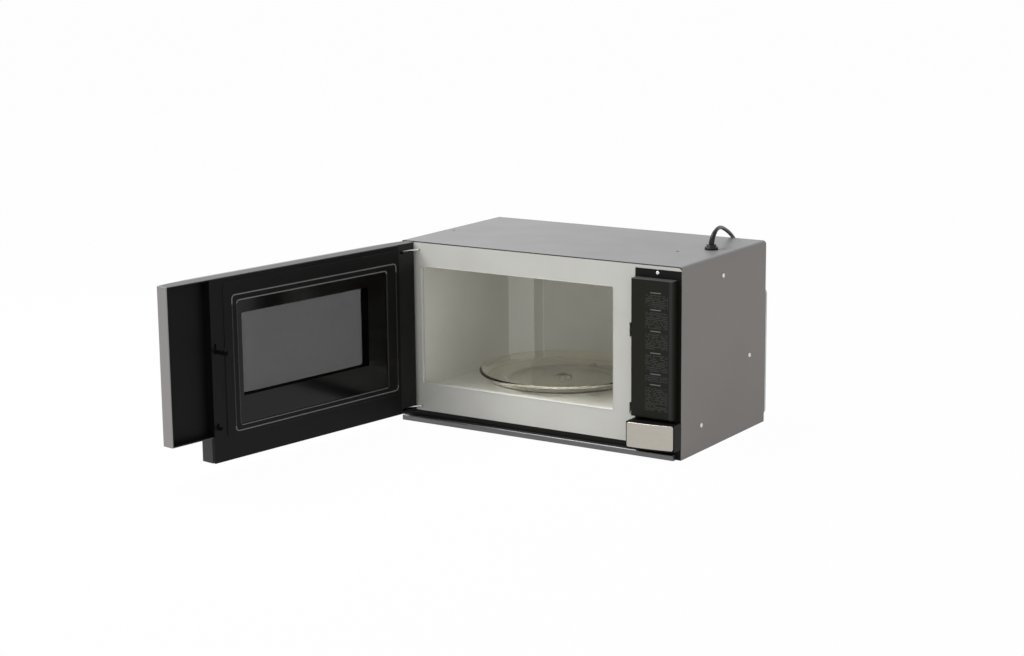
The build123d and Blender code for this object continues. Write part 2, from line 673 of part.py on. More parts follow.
COUPLER_BOTTOM = OVEN_FLOOR + SEAT
ARM_R = 17.0
with BuildPart() as drive_coupler:
    with BuildSketch(Plane.XY.offset(COUPLER_BOTTOM)):
        with Locations((TURN_X, TURN_Y)):
            Circle(9.0)
    extrude(amount=TRAY_UNDER - COUPLER_BOTTOM)
    for turn in (0, 120, 240):
        arm = Location((TURN_X, TURN_Y, 0), (0, 0, turn)) * Location((ARM_R / 2, 0, TRAY_UNDER - 4))
        with Locations(arm):
            Box(ARM_R, 7.0, 8.0)
    with BuildSketch(Plane.XY.offset(COUPLER_BOTTOM)):
        with Locations((TURN_X, TURN_Y)):
            Circle(SHAFT_R + PIN_CLEARANCE)
    extrude(amount=12.0, mode=Mode.SUBTRACT)
drive_coupler.part.label = "drive_coupler"

# Glass tray: flat floor, a shallow ramp and a rim, with three lugs beside the coupler's arms
TRAY_FLOOR = TRAY_UNDER + TRAY_GLASS
LUG_R = 3.0
with BuildPart() as glass_tray:
    with BuildSketch(Plane(origin=(TURN_X, TURN_Y, 0), x_dir=(1, 0, 0), z_dir=(0, -1, 0))):
        with BuildLine():
            Polyline(
                (0, TRAY_UNDER),
                (TRAY_FLAT_R, TRAY_UNDER),
                (TRAY_R - 3, TRAY_RIM_TOP - TRAY_GLASS),
                (TRAY_R, TRAY_RIM_TOP - TRAY_GLASS),
                (TRAY_R, TRAY_RIM_TOP - 1),
            )
            Polyline(
                (TRAY_R, TRAY_RIM_TOP - 1),
                (TRAY_R - 1, TRAY_RIM_TOP),
                (TRAY_R - 6, TRAY_RIM_TOP),
                (TRAY_FLAT_R - 3, TRAY_FLOOR),
                (0, TRAY_FLOOR),
                (0, TRAY_UNDER),
            )
        make_face()
    revolve(axis=Axis((TURN_X, TURN_Y, 0), (0, 0, 1)))
    with BuildSketch(Plane.XY.offset(TRAY_UNDER)):
        with Locations((TURN_X, TURN_Y)):
            with PolarLocations(13.0, 3, start_angle=34.0):
                Circle(LUG_R)
    extrude(amount=-4.0)
glass_tray.part.label = "glass_tray"

# Roller ring and its rollers
ROLLER_Z = OVEN_FLOOR + SEAT + ROLLER_R
AXLE_R = 2.0
RING_OUT = TRACK_R - ROLLER_WIDTH / 2 - 1.5
with BuildPart() as roller_ring:
    with BuildSketch(Plane.XY.offset(ROLLER_Z - 3)):
        with Locations((TURN_X, TURN_Y)):
            Circle(RING_OUT)
            Circle(RING_OUT - 6, mode=Mode.SUBTRACT)
    extrude(amount=6.0)
    for index in range(ROLLER_COUNT):
        turn = 90 + 360 / ROLLER_COUNT * index
        spoke = Location((TURN_X, TURN_Y, ROLLER_Z), (0, 0, turn))
        with Locations(spoke * Location((TRACK_R - 1, 0, 0), (0, 90, 0))):
            Cylinder(AXLE_R, 2 * (TRACK_R - RING_OUT) + 3)
        with Locations(spoke * Location((TRACK_R + ROLLER_WIDTH / 2 + 1.3, 0, 0), (0, 90, 0))):
            Cylinder(AXLE_R + 0.9, 2.0)
roller_ring.part.label = "roller_ring"

rollers = []
for index in range(ROLLER_COUNT):
    turn = 90 + 360 / ROLLER_COUNT * index
    spoke = Location((TURN_X, TURN_Y, ROLLER_Z), (0, 0, turn))
    with BuildPart() as roller:
        with Locations(spoke * Location((TRACK_R, 0, 0), (0, 90, 0))):
            Cylinder(ROLLER_R, ROLLER_WIDTH - 1)
            Cylinder(AXLE_R + PIN_CLEARANCE, ROLLER_WIDTH, mode=Mode.SUBTRACT)
    roller.part.label = f"roller_{index + 1}"
    rollers.append(roller)

# Black front plate, its screw, and the raised panel on it
PORT = (226.0, 288.0, 30.0, 61.0)
PORT_GAP = 0.5
with BuildPart() as front_plate:
    slab((PLATE_LEFT, INSIDE - SEAM), (FRONT, PLATE_BACK), (0, PLATE_TOP - SEAM))
    slab(
        (PORT[0] - PORT_GAP, PORT[1] + PORT_GAP),
        (FRONT, PLATE_BACK),
        (PORT[2] - PORT_GAP, PORT[3] + PORT_GAP),
        Mode.SUBTRACT,
    )
    with BuildSketch(from_front(FRONT)):
        with Locations((PLATE_SCREW_X, PLATE_SCREW_Z)):
            Circle(PLATE_SCREW_R + 0.1)
    extrude(amount=-PLATE_SHEET, mode=Mode.SUBTRACT)
front_plate.part.label = "front_plate"

with BuildPart() as menu_panel:
    slab((PANEL_LEFT, PANEL_RIGHT), (FRONT - PANEL_PROUD, FRONT), (PANEL_BOTTOM, PANEL_TOP))
    fillet(menu_panel.faces().sort_by(Axis.Y)[0].edges(), 1.5)
    slab(
        (PANEL_LEFT + PANEL_WALL, PANEL_RIGHT - PANEL_WALL),
        (FRONT - PANEL_PROUD + PANEL_WALL, FRONT),
        (PANEL_BOTTOM + PANEL_WALL, PANEL_TOP - PANEL_WALL),
        Mode.SUBTRACT,
    )
menu_panel.part.label = "menu_panel"

# Sill under the flange, and the trim strip along the bottom
with BuildPart() as sill:
    slab((-INSIDE, PLATE_LEFT - SEAM), (FRONT, FRONT + SILL_DEPTH), (0, FLANGE_BOTTOM - SEAM))
    slab((-INSIDE, PLATE_LEFT - SEAM), (FRONT, FRONT + SHEET), (FLANGE_BOTTOM - SEAM, FLANGE_BOTTOM))
sill.part.label = "sill"

with BuildPart() as bottom_trim:
    slab((TRIM_LEFT, TRIM_RIGHT), (FRONT - TRIM_DEPTH, FRONT), (0, TRIM_HEIGHT))
    fillet(bottom_trim.edges().filter_by(Axis.X).group_by(Axis.Y)[0], 2.5)
    slab(
        (TRIM_LEFT + SHEET, TRIM_RIGHT - SHEET),
        (FRONT - TRIM_DEPTH + SHEET, FRONT),
        (SHEET, TRIM_HEIGHT - SHEET),
        Mode.SUBTRACT,
    )
bottom_trim.part.label = "bottom_trim"

# Hinge plates: an eye, a tapered arm through the flange, a tab behind it, and the pin
with BuildPart() as hinge_plates:
    for z, up in ((UPPER_HINGE_Z, -1), (LOWER_HINGE_Z, 1)):
        with BuildSketch(Plane.XY.offset(z)):
            with BuildLine():
                Polyline(
                    (HINGE_X - EYE_R, HINGE_Y),
                    (HINGE_X, FRONT),
                    (HINGE_X, FRONT + 5),
                    (HINGE_RIGHT, FRONT + 5),
                    (HINGE_RIGHT, FRONT),
                    (HINGE_X + EYE_R, HINGE_Y),
                    close=True,
                )
            make_face()
            with Locations((HINGE_X, HINGE_Y)):
                Circle(EYE_R)
        extrude(amount=HINGE_PLATE)
        middle = z + HINGE_PLATE / 2
        tab = sorted((middle - up * HINGE_PLATE / 2, middle + up * 20.0))
        slab((HINGE_X, HINGE_RIGHT), (FRONT + SHEET, FRONT + SHEET + 2), tab)
        with BuildSketch(Plane.XY.offset(middle)):
            with Locations((HINGE_X, HINGE_Y)):
                Circle(PIN_R)
        extrude(amount=up * (HINGE_PLATE / 2 + PIN_LENGTH))
hinge_plates.part.label = "hinge_plates"

# Latch base behind the flange, with slots for the hooks and seats for the switches
BASE_LEFT, BASE_RIGHT = 176.0, 208.0
BASE_WALL = 2.0
BASE_LOW, BASE_HIGH = 62.0, UPPER_SLOT[1] + 9.0
SWITCH_OFFSET = 3.0
SWITCH_DEPTH = 28.0
SWITCH_LEFT = 192.0
SWITCH_WIDE, SWITCH_HIGH = 11.0, 16.0
UPPER_SWITCH_Z = sum(UPPER_HOOK) / 2
LOWER_SWITCH_Z = sum(LOWER_HOOK) / 2
SWITCHES = (
    (UPPER_SWITCH_Z, FRONT + UPPER_REACH + SWITCH_OFFSET),
    (LOWER_SWITCH_Z, FRONT + LOWER_REACH + SWITCH_OFFSET),
    (UPPER_SWITCH_Z - 30.0, FRONT + UPPER_REACH + SWITCH_OFFSET),
)
BASE_REAR = SWITCHES[0][1] + SWITCH_DEPTH
SLIDE_LEFT, SLIDE_RIGHT = HOOK_X - 3.5, HOOK_X + 3.5
SLIDE_NOSE = BOX_FRONT + BASE_WALL + SEAT
SLIDE_FRONT = SLIDE_NOSE + BUTTON_TRAVEL + 0.2
SLIDE_REAR = SLIDE_FRONT + 6.0
GUIDE_WALL = 1.6
SPRING_X = SLIDE_LEFT - 8
SPRING_TOP = LOWER_SLOT[0] + 3.0
with BuildPart() as latch_base:
    slab((BASE_LEFT, BASE_RIGHT), (BOX_FRONT, BOX_FRONT + BASE_WALL), (BASE_LOW, BASE_HIGH))
    for low, high in (UPPER_SLOT, LOWER_SLOT):
        slab((SLOT_LEFT, SLOT_RIGHT), (BOX_FRONT, BOX_FRONT + BASE_WALL), (low, high), Mode.SUBTRACT)
    slab((BASE_LEFT, BASE_LEFT + BASE_WALL), (BOX_FRONT, BASE_REAR), (BASE_LOW, BASE_HIGH))
    for z, front in SWITCHES:
        slab((BASE_LEFT, SWITCH_LEFT), (front, front + SWITCH_DEPTH), (z - 6, z + 6))
    # Guides of the release slider, and the lug that its spring pushes on
    for x in (SLIDE_LEFT - SEAT - GUIDE_WALL, SLIDE_RIGHT + SEAT):
        slab((x, x + GUIDE_WALL), (BOX_FRONT, SLIDE_REAR), (BASE_LOW, LOWER_SLOT[0] - 1))
    slab((SPRING_X - 4, SPRING_X + 4), (BOX_FRONT, SLIDE_REAR), (SPRING_TOP, SPRING_TOP + 2))
latch_base.part.label = "latch_base"

PLUNGER_R = 1.5
PLUNGER_OUT = SWITCH_OFFSET - 0.4
PLUNGER_BORE = 8.0
with BuildPart() as interlock_switches:
    for z, front in SWITCHES:
        slab(
            (SWITCH_LEFT, SWITCH_LEFT + SWITCH_WIDE),
            (front, front + SWITCH_DEPTH),
            (z - SWITCH_HIGH / 2, z + SWITCH_HIGH / 2),
        )
        for y in (front + 8, front + 20):
            slab((SWITCH_LEFT + SWITCH_WIDE, SWITCH_LEFT + SWITCH_WIDE + 4), (y, y + 0.8), (z - 3, z + 3))
    for z, front in SWITCHES[:2]:
        with BuildSketch(from_front(front)):
            with Locations((HOOK_X, z)):
                Circle(PLUNGER_R + PIN_CLEARANCE)
        extrude(amount=-PLUNGER_BORE, mode=Mode.SUBTRACT)
interlock_switches.part.label = "interlock_switches"


def plunger(place, label):
    """A switch plunger, standing out of its bore towards the hook."""
    z, front = place
    with BuildPart() as pin:
        with BuildSketch(from_front(front - PLUNGER_OUT)):
            with Locations((HOOK_X, z)):
                Circle(PLUNGER_R)
        extrude(amount=-(PLUNGER_OUT + PLUNGER_BORE - 2.0))
    pin.part.label = label
    return pin


plunger_upper = plunger(SWITCHES[0], "plunger_upper")
plunger_lower = plunger(SWITCHES[1], "plunger_lower")

# Door-open button: cap, carrier with its wedge, and the slider that the wedge lifts
BEZEL_LEFT, BEZEL_RIGHT = 210.4, 302.9
BEZEL_LOW, BEZEL_HIGH = 20.4, 69.3
CAP_DEPTH = 14.0
with BuildPart() as button_bezel:
    bezel_plan = bowed_plan(Plane.XY.offset(BEZEL_LOW), BEZEL_LEFT, BEZEL_RIGHT, BEZEL_BACK, FRONT)
    extrude(bezel_plan, amount=BEZEL_HIGH - BEZEL_LOW)
    slab(
        (BUTTON_LEFT - BUTTON_GAP, BUTTON_RIGHT + BUTTON_GAP),
        (DOOR_FRONT - 1, FRONT),
        (BUTTON_BOTTOM - BUTTON_GAP, BUTTON_TOP + BUTTON_GAP),
        Mode.SUBTRACT,
    )
button_bezel.part.label = "button_bezel"

CAP_BACK = front_y(BUTTON_RIGHT) + CAP_DEPTH
with BuildPart() as button_cap:
    cap_plan = bowed_plan(Plane.XY.offset(BUTTON_BOTTOM), BUTTON_LEFT, BUTTON_RIGHT, 0, CAP_BACK)
    extrude(cap_plan, amount=BUTTON_TOP - BUTTON_BOTTOM)
    fillet(button_cap.edges().filter_by(lambda e: abs(e.center().Y - CAP_BACK) > 2).filter_by(Axis.Y), 3.5)
    fillet(button_cap.faces().sort_by(Axis.Y)[0].edges(), 1.0)
button_cap.part.label = "button_cap"

# The wedge slopes down towards the rear, so pushing it in lifts the slider that stands on it
WEDGE_LOW = 38.0
ARM_HIGH = 6.0
CARRIER_REAR = PLATE_BACK + 14.0
WEDGE_REAR = SLIDE_REAR + BUTTON_TRAVEL
WEDGE_HIGH = WEDGE_LOW + RELEASE_RATIO * (WEDGE_REAR - SLIDE_NOSE)
with BuildPart() as button_carrier:
    slab((PORT[0], PORT[1]), (CAP_BACK, CARRIER_REAR), (PORT[2], PORT[3]))
    # Stop behind the plate, and the arm that ends in the wedge
    slab((PORT[0] - 4, PORT[1] + 4), (PLATE_BACK + SEAT, PLATE_BACK + 3), (PORT[2] - 4, PORT[3] - 2))
    slab((SLIDE_LEFT, PORT[0] + 2), (SLIDE_NOSE, CARRIER_REAR), (WEDGE_LOW - ARM_HIGH, WEDGE_LOW))
    with BuildSketch(from_side(SLIDE_LEFT)):
        with BuildLine():
            Polyline(
                (SLIDE_NOSE, WEDGE_LOW - ARM_HIGH),
                (SLIDE_NOSE, WEDGE_HIGH),
                (WEDGE_REAR, WEDGE_LOW),
                (WEDGE_REAR, WEDGE_LOW - ARM_HIGH),
                close=True,
            )
        make_face()
    extrude(amount=SLIDE_RIGHT - SLIDE_LEFT)
button_carrier.part.label = "button_carrier"

# The slider's foot has the wedge's slope, and its nose reaches under the lower hook
FOOT_GAP = SEAT * math.hypot(1, RELEASE_RATIO)
FOOT_FRONT = WEDGE_HIGH - RELEASE_RATIO * (SLIDE_FRONT - SLIDE_NOSE) + FOOT_GAP
FOOT_REAR = FOOT_FRONT - RELEASE_RATIO * (SLIDE_REAR - SLIDE_FRONT)
RELEASE_LIFT = RELEASE_RATIO * BUTTON_TRAVEL
SLIDER_TOP = LOWER_HOOK[0] - RELEASE_LIFT - SEAT
NOSE_REAR = SWITCHES[1][1] - 1.0
SPRING_ARM = 55.0
SPRING_ARM_THICK = 2.0
with BuildPart() as release_slider:
    with BuildSketch(from_side(SLIDE_LEFT)):
        with BuildLine():
            Polyline(
                (SLIDE_FRONT, FOOT_FRONT),
                (SLIDE_REAR, FOOT_REAR),
                (SLIDE_REAR, SLIDER_TOP - 10),
                (NOSE_REAR, SLIDER_TOP - 8),
                (NOSE_REAR, SLIDER_TOP),
                (SLIDE_NOSE, SLIDER_TOP),
                (SLIDE_NOSE, SLIDER_TOP - 6),
                (SLIDE_FRONT, SLIDER_TOP - 12),
                close=True,
            )
        make_face()
    extrude(amount=SLIDE_RIGHT - SLIDE_LEFT)
    slab(
        (SPRING_X - 3.6, SLIDE_LEFT + 1),
        (SLIDE_FRONT, SLIDE_REAR),
        (SPRING_ARM, SPRING_ARM + SPRING_ARM_THICK),
    )
release_slider.part.label = "release_slider"

with BuildPart() as release_spring:
    with BuildSketch(Plane.XY.offset(SPRING_ARM + SPRING_ARM_THICK + SEAT)):
        with Locations((SPRING_X, (SLIDE_FRONT + SLIDE_REAR) / 2)):
            Circle(3.0)
            Circle(2.2, mode=Mode.SUBTRACT)
    extrude(amount=SPRING_TOP - SPRING_ARM - SPRING_ARM_THICK - SEAT)
release_spring.part.label = "release_spring"

# Door skin: bowed front with its top and bottom returns, notched over the button
SKIN_LEFT, SKIN_RIGHT = DOOR_LEFT + DOOR_CAP, DOOR_RIGHT - DOOR_CAP
BEHIND = FRONT + 10
FRAME_FRONT, FRAME_REAR = FRONT - 22.0, FRONT - 10.0
CAP_SHEET = 1.6
CAP_CORNER = (HINGE_X - 9.2, HINGE_Y + 7.0)
with BuildPart(DOOR) as door_skin:
    extrude(
        bowed_plan(DOOR.offset(DOOR_BOTTOM), SKIN_LEFT, SKIN_RIGHT, 0, RIM_Y),
        amount=DOOR_TOP - DOOR_BOTTOM,
    )
    slab((CHOKE_RIGHT, SIDE), (DOOR_FRONT - 5, BEHIND), (0, CONTROL_BOTTOM), Mode.SUBTRACT)
    extrude(
        bowed_plan(DOOR.offset(DOOR_BOTTOM + SKIN), SKIN_LEFT - 5, CHOKE_RIGHT - SKIN, SKIN, BEHIND),
        amount=DOOR_TOP - DOOR_BOTTOM - 2 * SKIN,
        mode=Mode.SUBTRACT,
    )
    extrude(
        bowed_plan(DOOR.offset(CONTROL_BOTTOM + SKIN), CHOKE_RIGHT - 5, SKIN_RIGHT + 2, SKIN, BEHIND),
        amount=DOOR_TOP - CONTROL_BOTTOM - 2 * SKIN,
        mode=Mode.SUBTRACT,
    )
    pane_hole = (
        PANE[0] + GLASS_BORDER,
        PANE[1] - GLASS_BORDER,
        PANE[2] + GLASS_BORDER,
        PANE[3] - GLASS_BORDER,
    )
    slab(
        (CHOKE_RIGHT - SKIN, CHOKE_RIGHT),
        (FRAME_REAR - SEAM, BEHIND),
        (0, CONTROL_BOTTOM + SKIN),
        Mode.SUBTRACT,
    )
    slab((DOOR_LEFT, CAP_CORNER[0]), (CAP_CORNER[1], BEHIND), (0, HEIGHT), Mode.SUBTRACT)
    slab((DOOR_LEFT, CHOKE_LEFT - SEAM), (RIM_Y - CAP_SHEET, BEHIND), (0, HEIGHT), Mode.SUBTRACT)
    front_plane = on_door(from_front(DOOR_FRONT - 2))
    extrude(window(pane_hole, front_plane, 5.0), amount=-6.0, mode=Mode.SUBTRACT)
    extrude(window(FASCIA, front_plane, 0.5), amount=-14.0, mode=Mode.SUBTRACT)
door_skin.part.label = "door_skin"


def hinge_arc(radius, dx=None, dy=None):
    """A point at a radius about the hinge axis, behind it and to its left, from either offset."""
    if dx is None:
        dx = -math.sqrt(radius**2 - dy**2)
    else:
        dy = math.sqrt(radius**2 - dx**2)
    return (HINGE_X + dx, HINGE_Y + dy)


def arc_middle(start, end, radius):
    """The point halfway along an arc about the hinge axis."""
    dx = (start[0] + end[0]) / 2 - HINGE_X
    dy = (start[1] + end[1]) / 2 - HINGE_Y
    grow = radius / math.hypot(dx, dy)
    return (HINGE_X + dx * grow, HINGE_Y + dy * grow)


# The hinge-side cap wraps round within the swing radius, and is notched for the hinge plates
NOTCH_SPARE = 1.4
NOTCHES = (
    (UPPER_HINGE_Z - NOTCH_SPARE, UPPER_HINGE_Z + HINGE_PLATE + NOTCH_SPARE),
    (LOWER_HINGE_Z - NOTCH_SPARE, LOWER_HINGE_Z + HINGE_PLATE + NOTCH_SPARE),
)
NOTCH_FRONT = HINGE_Y - 5.4
with BuildPart(DOOR) as door_end_caps:
    outer_start = hinge_arc(HINGE_SWING, dx=DOOR_LEFT - HINGE_X)
    outer_end = hinge_arc(HINGE_SWING, dy=RIM_Y - HINGE_Y)
    with BuildSketch(DOOR.offset(DOOR_BOTTOM)):
        with BuildLine():
            Polyline(
                (SKIN_LEFT, front_y(SKIN_LEFT)),
                (DOOR_LEFT, front_y(DOOR_LEFT)),
                outer_start,
            )
            ThreePointArc(outer_start, arc_middle(outer_start, outer_end, HINGE_SWING), outer_end)
            Polyline(
                outer_end,
                (CHOKE_LEFT - SEAM, RIM_Y),
                (CHOKE_LEFT - SEAM, RIM_Y - CAP_SHEET),
                (CAP_CORNER[0], RIM_Y - CAP_SHEET),
                CAP_CORNER,
                (SKIN_LEFT, CAP_CORNER[1]),
                (SKIN_LEFT, front_y(SKIN_LEFT)),
            )
        make_face()
    extrude(amount=DOOR_TOP - DOOR_BOTTOM)
    for low, high in NOTCHES:
        slab((DOOR_LEFT - 2, HINGE_RIGHT + 4), (NOTCH_FRONT, BEHIND), (low, high), Mode.SUBTRACT)
    # The far cap is a plain bowed strip
    extrude(
        bowed_plan(DOOR.offset(CONTROL_BOTTOM), SKIN_RIGHT, DOOR_RIGHT, 0, RIM_Y),
        amount=DOOR_TOP - CONTROL_BOTTOM,
    )
door_end_caps.part.label = "door_end_caps"

SKIN_BACK = DOOR_FRONT + SKIN
with BuildPart(DOOR) as door_window:
    extrude(window(PANE, on_door(from_front(SKIN_BACK)), 6.0), amount=-PANE_THICK)
door_window.part.label = "door_window"

# Glass key panel, flush in the skin, with a border behind it
with BuildPart(DOOR) as control_fascia:
    left, right, bottom, top = FASCIA
    extrude(
        bowed_plan(DOOR.offset(bottom + SEAM), left + SEAM, right - SEAM, 0, DOOR_FRONT + 14),
        amount=top - bottom - 2 * SEAM,
    )
    extrude(
        bowed_plan(DOOR.offset(bottom - 3), left - 3, right + 3, SKIN + SEAM, DOOR_FRONT + 14),
        amount=top - bottom + 6,
    )
    extrude(
        bowed_plan(DOOR.offset(bottom - 5), left - 5, right + 5, FASCIA_THICK, DOOR_FRONT + 20),
        amount=top - bottom + 10,
        mode=Mode.SUBTRACT,
    )
control_fascia.part.label = "control_fascia"

# Recess behind the control side: a pan that clears the raised panel
PAN_FRONT = FRONT - PANEL_PROUD - 3.0
PAN_WALL = 1.6
PAN_LEFT, PAN_RIGHT = CHOKE_RIGHT - 1.2, SKIN_RIGHT - 0.4
PAN_BOTTOM, PAN_TOP = CONTROL_BOTTOM + SKIN + SEAM, DOOR_TOP - SKIN - SEAM
with BuildPart(DOOR) as recess_cover:
    slab((PAN_LEFT, PAN_RIGHT), (PAN_FRONT, PAN_FRONT + PAN_WALL), (PAN_BOTTOM, PAN_TOP))
    slab((PAN_RIGHT - PAN_WALL, PAN_RIGHT), (PAN_FRONT, RIM_Y), (PAN_BOTTOM, PAN_TOP))
    slab((CHOKE_RIGHT + SEAM, PAN_RIGHT), (PAN_FRONT, RIM_Y), (PAN_BOTTOM, PAN_BOTTOM + PAN_WALL))
    slab((CHOKE_RIGHT + SEAM, PAN_RIGHT), (PAN_FRONT, RIM_Y), (PAN_TOP - PAN_WALL, PAN_TOP))
recess_cover.part.label = "recess_cover"

# Key board, carrying the display behind the glass
BOARD = 1.6
DISPLAY = (FASCIA[0] + 7.0, FASCIA[1] - 7.0, FASCIA[3] - 42.0, FASCIA[3] - 10.0)
with BuildPart(DOOR) as key_board:
    slab((FASCIA[0] - 3, FASCIA[1] + 3), (PAN_FRONT - BOARD, PAN_FRONT), (FASCIA[2], FASCIA[3]))
    slab(
        (DISPLAY[0], DISPLAY[1]),
        (front_y(DISPLAY[1], FASCIA_THICK) + 0.5, PAN_FRONT - BOARD),
        (DISPLAY[2], DISPLAY[3]),
    )
key_board.part.label = "key_board"

# Steel choke frame with the window's screen and the housings of the hinge bushes
FRAME_SHEET = 1.2
FRAME_LEFT, FRAME_RIGHT = HINGE_X - 8.6, CHOKE_RIGHT - SKIN - 0.4
FRAME_BOTTOM, FRAME_TOP = DOOR_BOTTOM + SKIN + SEAT, DOOR_TOP - SKIN - SEAT
HOUSINGS = (
    (UPPER_HINGE_Z - 14.0, UPPER_HINGE_Z - NOTCH_SPARE),
    (LOWER_HINGE_Z + HINGE_PLATE + NOTCH_SPARE, LOWER_HINGE_Z + HINGE_PLATE + 14.0),
)
LATCH_SPRING = 30.0
LUG_DROP = 19.6
SPRING_LUG = DOOR_TOP - LUG_DROP
BAR_TOP = SPRING_LUG - LATCH_SPRING
BAR = (HOOK_X - 2.0, HOOK_X + 2.0)
BAR_REAR = FRAME_REAR - SEAT
BAR_FRONT = BAR_REAR - 6.0
SCREEN_HOLE = (SCREEN[0] + 6, SCREEN[1] - 6, SCREEN[2] + 6, SCREEN[3] - 6)
with BuildPart(DOOR) as door_frame:
    slab((FRAME_LEFT, FRAME_RIGHT), (FRAME_FRONT, FRAME_REAR), (FRAME_BOTTOM, FRAME_TOP))
    slab(
        (FRAME_LEFT + FRAME_SHEET, FRAME_RIGHT - FRAME_SHEET),
        (FRAME_FRONT + FRAME_SHEET, FRAME_REAR),
        (FRAME_BOTTOM + FRAME_SHEET, FRAME_TOP - FRAME_SHEET),
        Mode.SUBTRACT,
    )
    hole = window(SCREEN_HOLE, on_door(from_front(FRAME_FRONT)), 5.0)
    extrude(hole, amount=-FRAME_SHEET, mode=Mode.SUBTRACT)
    for low, high in NOTCHES:
        slab((DOOR_LEFT - 2, HINGE_RIGHT + 4), (DOOR_FRONT, BEHIND), (low, high), Mode.SUBTRACT)
    for low, high in HOUSINGS:
        slab((HINGE_X - 7.4, HINGE_X + 7.4), (HINGE_Y - 7.4, HINGE_Y + 7.4), (low, high))
        with BuildSketch(DOOR.offset(low)):
            with Locations((HINGE_X, HINGE_Y)):
                Circle(BUSH_R + PIN_CLEARANCE)
        extrude(amount=high - low, mode=Mode.SUBTRACT)
    slab((BAR[0] - 3, BAR[1] + 3), (FRAME_FRONT, BAR_REAR), (SPRING_LUG, SPRING_LUG + 2))
door_frame.part.label = "door_frame"

with BuildPart(DOOR) as window_screen:
    extrude(window(SCREEN, on_door(from_front(FRAME_FRONT)), 4.0), amount=0.8)
window_screen.part.label = "window_screen"

with BuildPart(DOOR) as door_bushes:
    for (low, high), top in zip(HOUSINGS, (True, False)):
        collar = (high, UPPER_HINGE_Z - SEAT) if top else (LOWER_HINGE_Z + HINGE_PLATE + SEAT, low)
        with BuildSketch(DOOR.offset(low)):
            with Locations((HINGE_X, HINGE_Y)):
                Circle(BUSH_R)
        extrude(amount=high - low)
        with BuildSketch(DOOR.offset(collar[0])):
            with Locations((HINGE_X, HINGE_Y)):
                Circle(BUSH_R + 1.5)
        extrude(amount=collar[1] - collar[0])
        mouth = collar[1] if top else collar[0]
        depth = -(PIN_LENGTH + SEAT - 0.5) if top else PIN_LENGTH + SEAT - 0.5
        with BuildSketch(DOOR.offset(mouth)):
            with Locations((HINGE_X, HINGE_Y)):
                Circle(PIN_R + PIN_CLEARANCE)
        extrude(amount=depth, mode=Mode.SUBTRACT)
door_bushes.part.label = "door_bushes"

# Black cover of the door's inner side, with a raised ring round the inner sheet
COVER_FACE = DOOR_BACK - 1.6
RING = (CHOKE_LEFT + 0.6, 179.1, 65.0, DOOR_TOP - 9.6)
SHEET_BACK = DOOR_BACK - 1.6
SHEET_THICK = 1.2
LEDGE = 8.0
GROOVE = (-244.0, 161.0, 72.0, DOOR_TOP - 32.6)
GROOVE_WIDE = 1.4
HOOK_HOLES = (
    (UPPER_HOOK[0] - 1.0, UPPER_HOOK[1] + 5 + LATCH_LIFT + 0.6),
    (LOWER_HOOK[0] - 1.0, LOWER_HOOK[1] + LATCH_LIFT + 0.6),
)
with BuildPart(DOOR) as choke_cover:
    slab(
        (CHOKE_LEFT, CHOKE_RIGHT),
        (FRAME_REAR, COVER_FACE),
        (DOOR_BOTTOM + SKIN + SEAM, DOOR_TOP - SKIN - SEAM),
    )
    extrude(window(RING, on_door(from_front(DOOR_BACK)), 7.0), amount=DOOR_BACK - COVER_FACE + 2)
    fillet(choke_cover.faces().sort_by(Axis(DOOR.origin, DOOR.y_dir))[-1].edges(), 1.0)
    hole = window(BEZEL_HOLE, on_door(from_front(DOOR_BACK)), 6.0)
    extrude(hole, amount=DOOR_BACK - SHEET_BACK + SHEET_THICK, mode=Mode.SUBTRACT)
    hole = (BEZEL_HOLE[0] + LEDGE, BEZEL_HOLE[1] - LEDGE, BEZEL_HOLE[2] + LEDGE, BEZEL_HOLE[3] - LEDGE)
    extrude(window(hole, on_door(from_front(DOOR_BACK)), 4.0), amount=12.0, mode=Mode.SUBTRACT)
    with BuildSketch(on_door(from_front(DOOR_BACK))):
        with Locations(((GROOVE[0] + GROOVE[1]) / 2, (GROOVE[2] + GROOVE[3]) / 2)):
            RectangleRounded(GROOVE[1] - GROOVE[0], GROOVE[3] - GROOVE[2], 8.0)
            RectangleRounded(
                GROOVE[1] - GROOVE[0] - 2 * GROOVE_WIDE,
                GROOVE[3] - GROOVE[2] - 2 * GROOVE_WIDE,
                8.0 - GROOVE_WIDE,
                mode=Mode.SUBTRACT,
            )
    extrude(amount=0.7, mode=Mode.SUBTRACT)
    for low, high in HOOK_HOLES:
        slab(
            (HOOK_X - HOOK_THICK / 2 - SEAT, HOOK_X + HOOK_THICK / 2 + SEAT),
            (FRAME_REAR, BEHIND),
            (low, high),
            Mode.SUBTRACT,
        )
choke_cover.part.label = "choke_cover"

with BuildPart(DOOR) as inner_window:
    inner_limits = (BEZEL_HOLE[0] + SEAM, BEZEL_HOLE[1] - SEAM, BEZEL_HOLE[2] + SEAM, BEZEL_HOLE[3] - SEAM)
    extrude(window(inner_limits, on_door(from_front(SHEET_BACK)), 6.0 - SEAM), amount=SHEET_THICK)
inner_window.part.label = "inner_window"

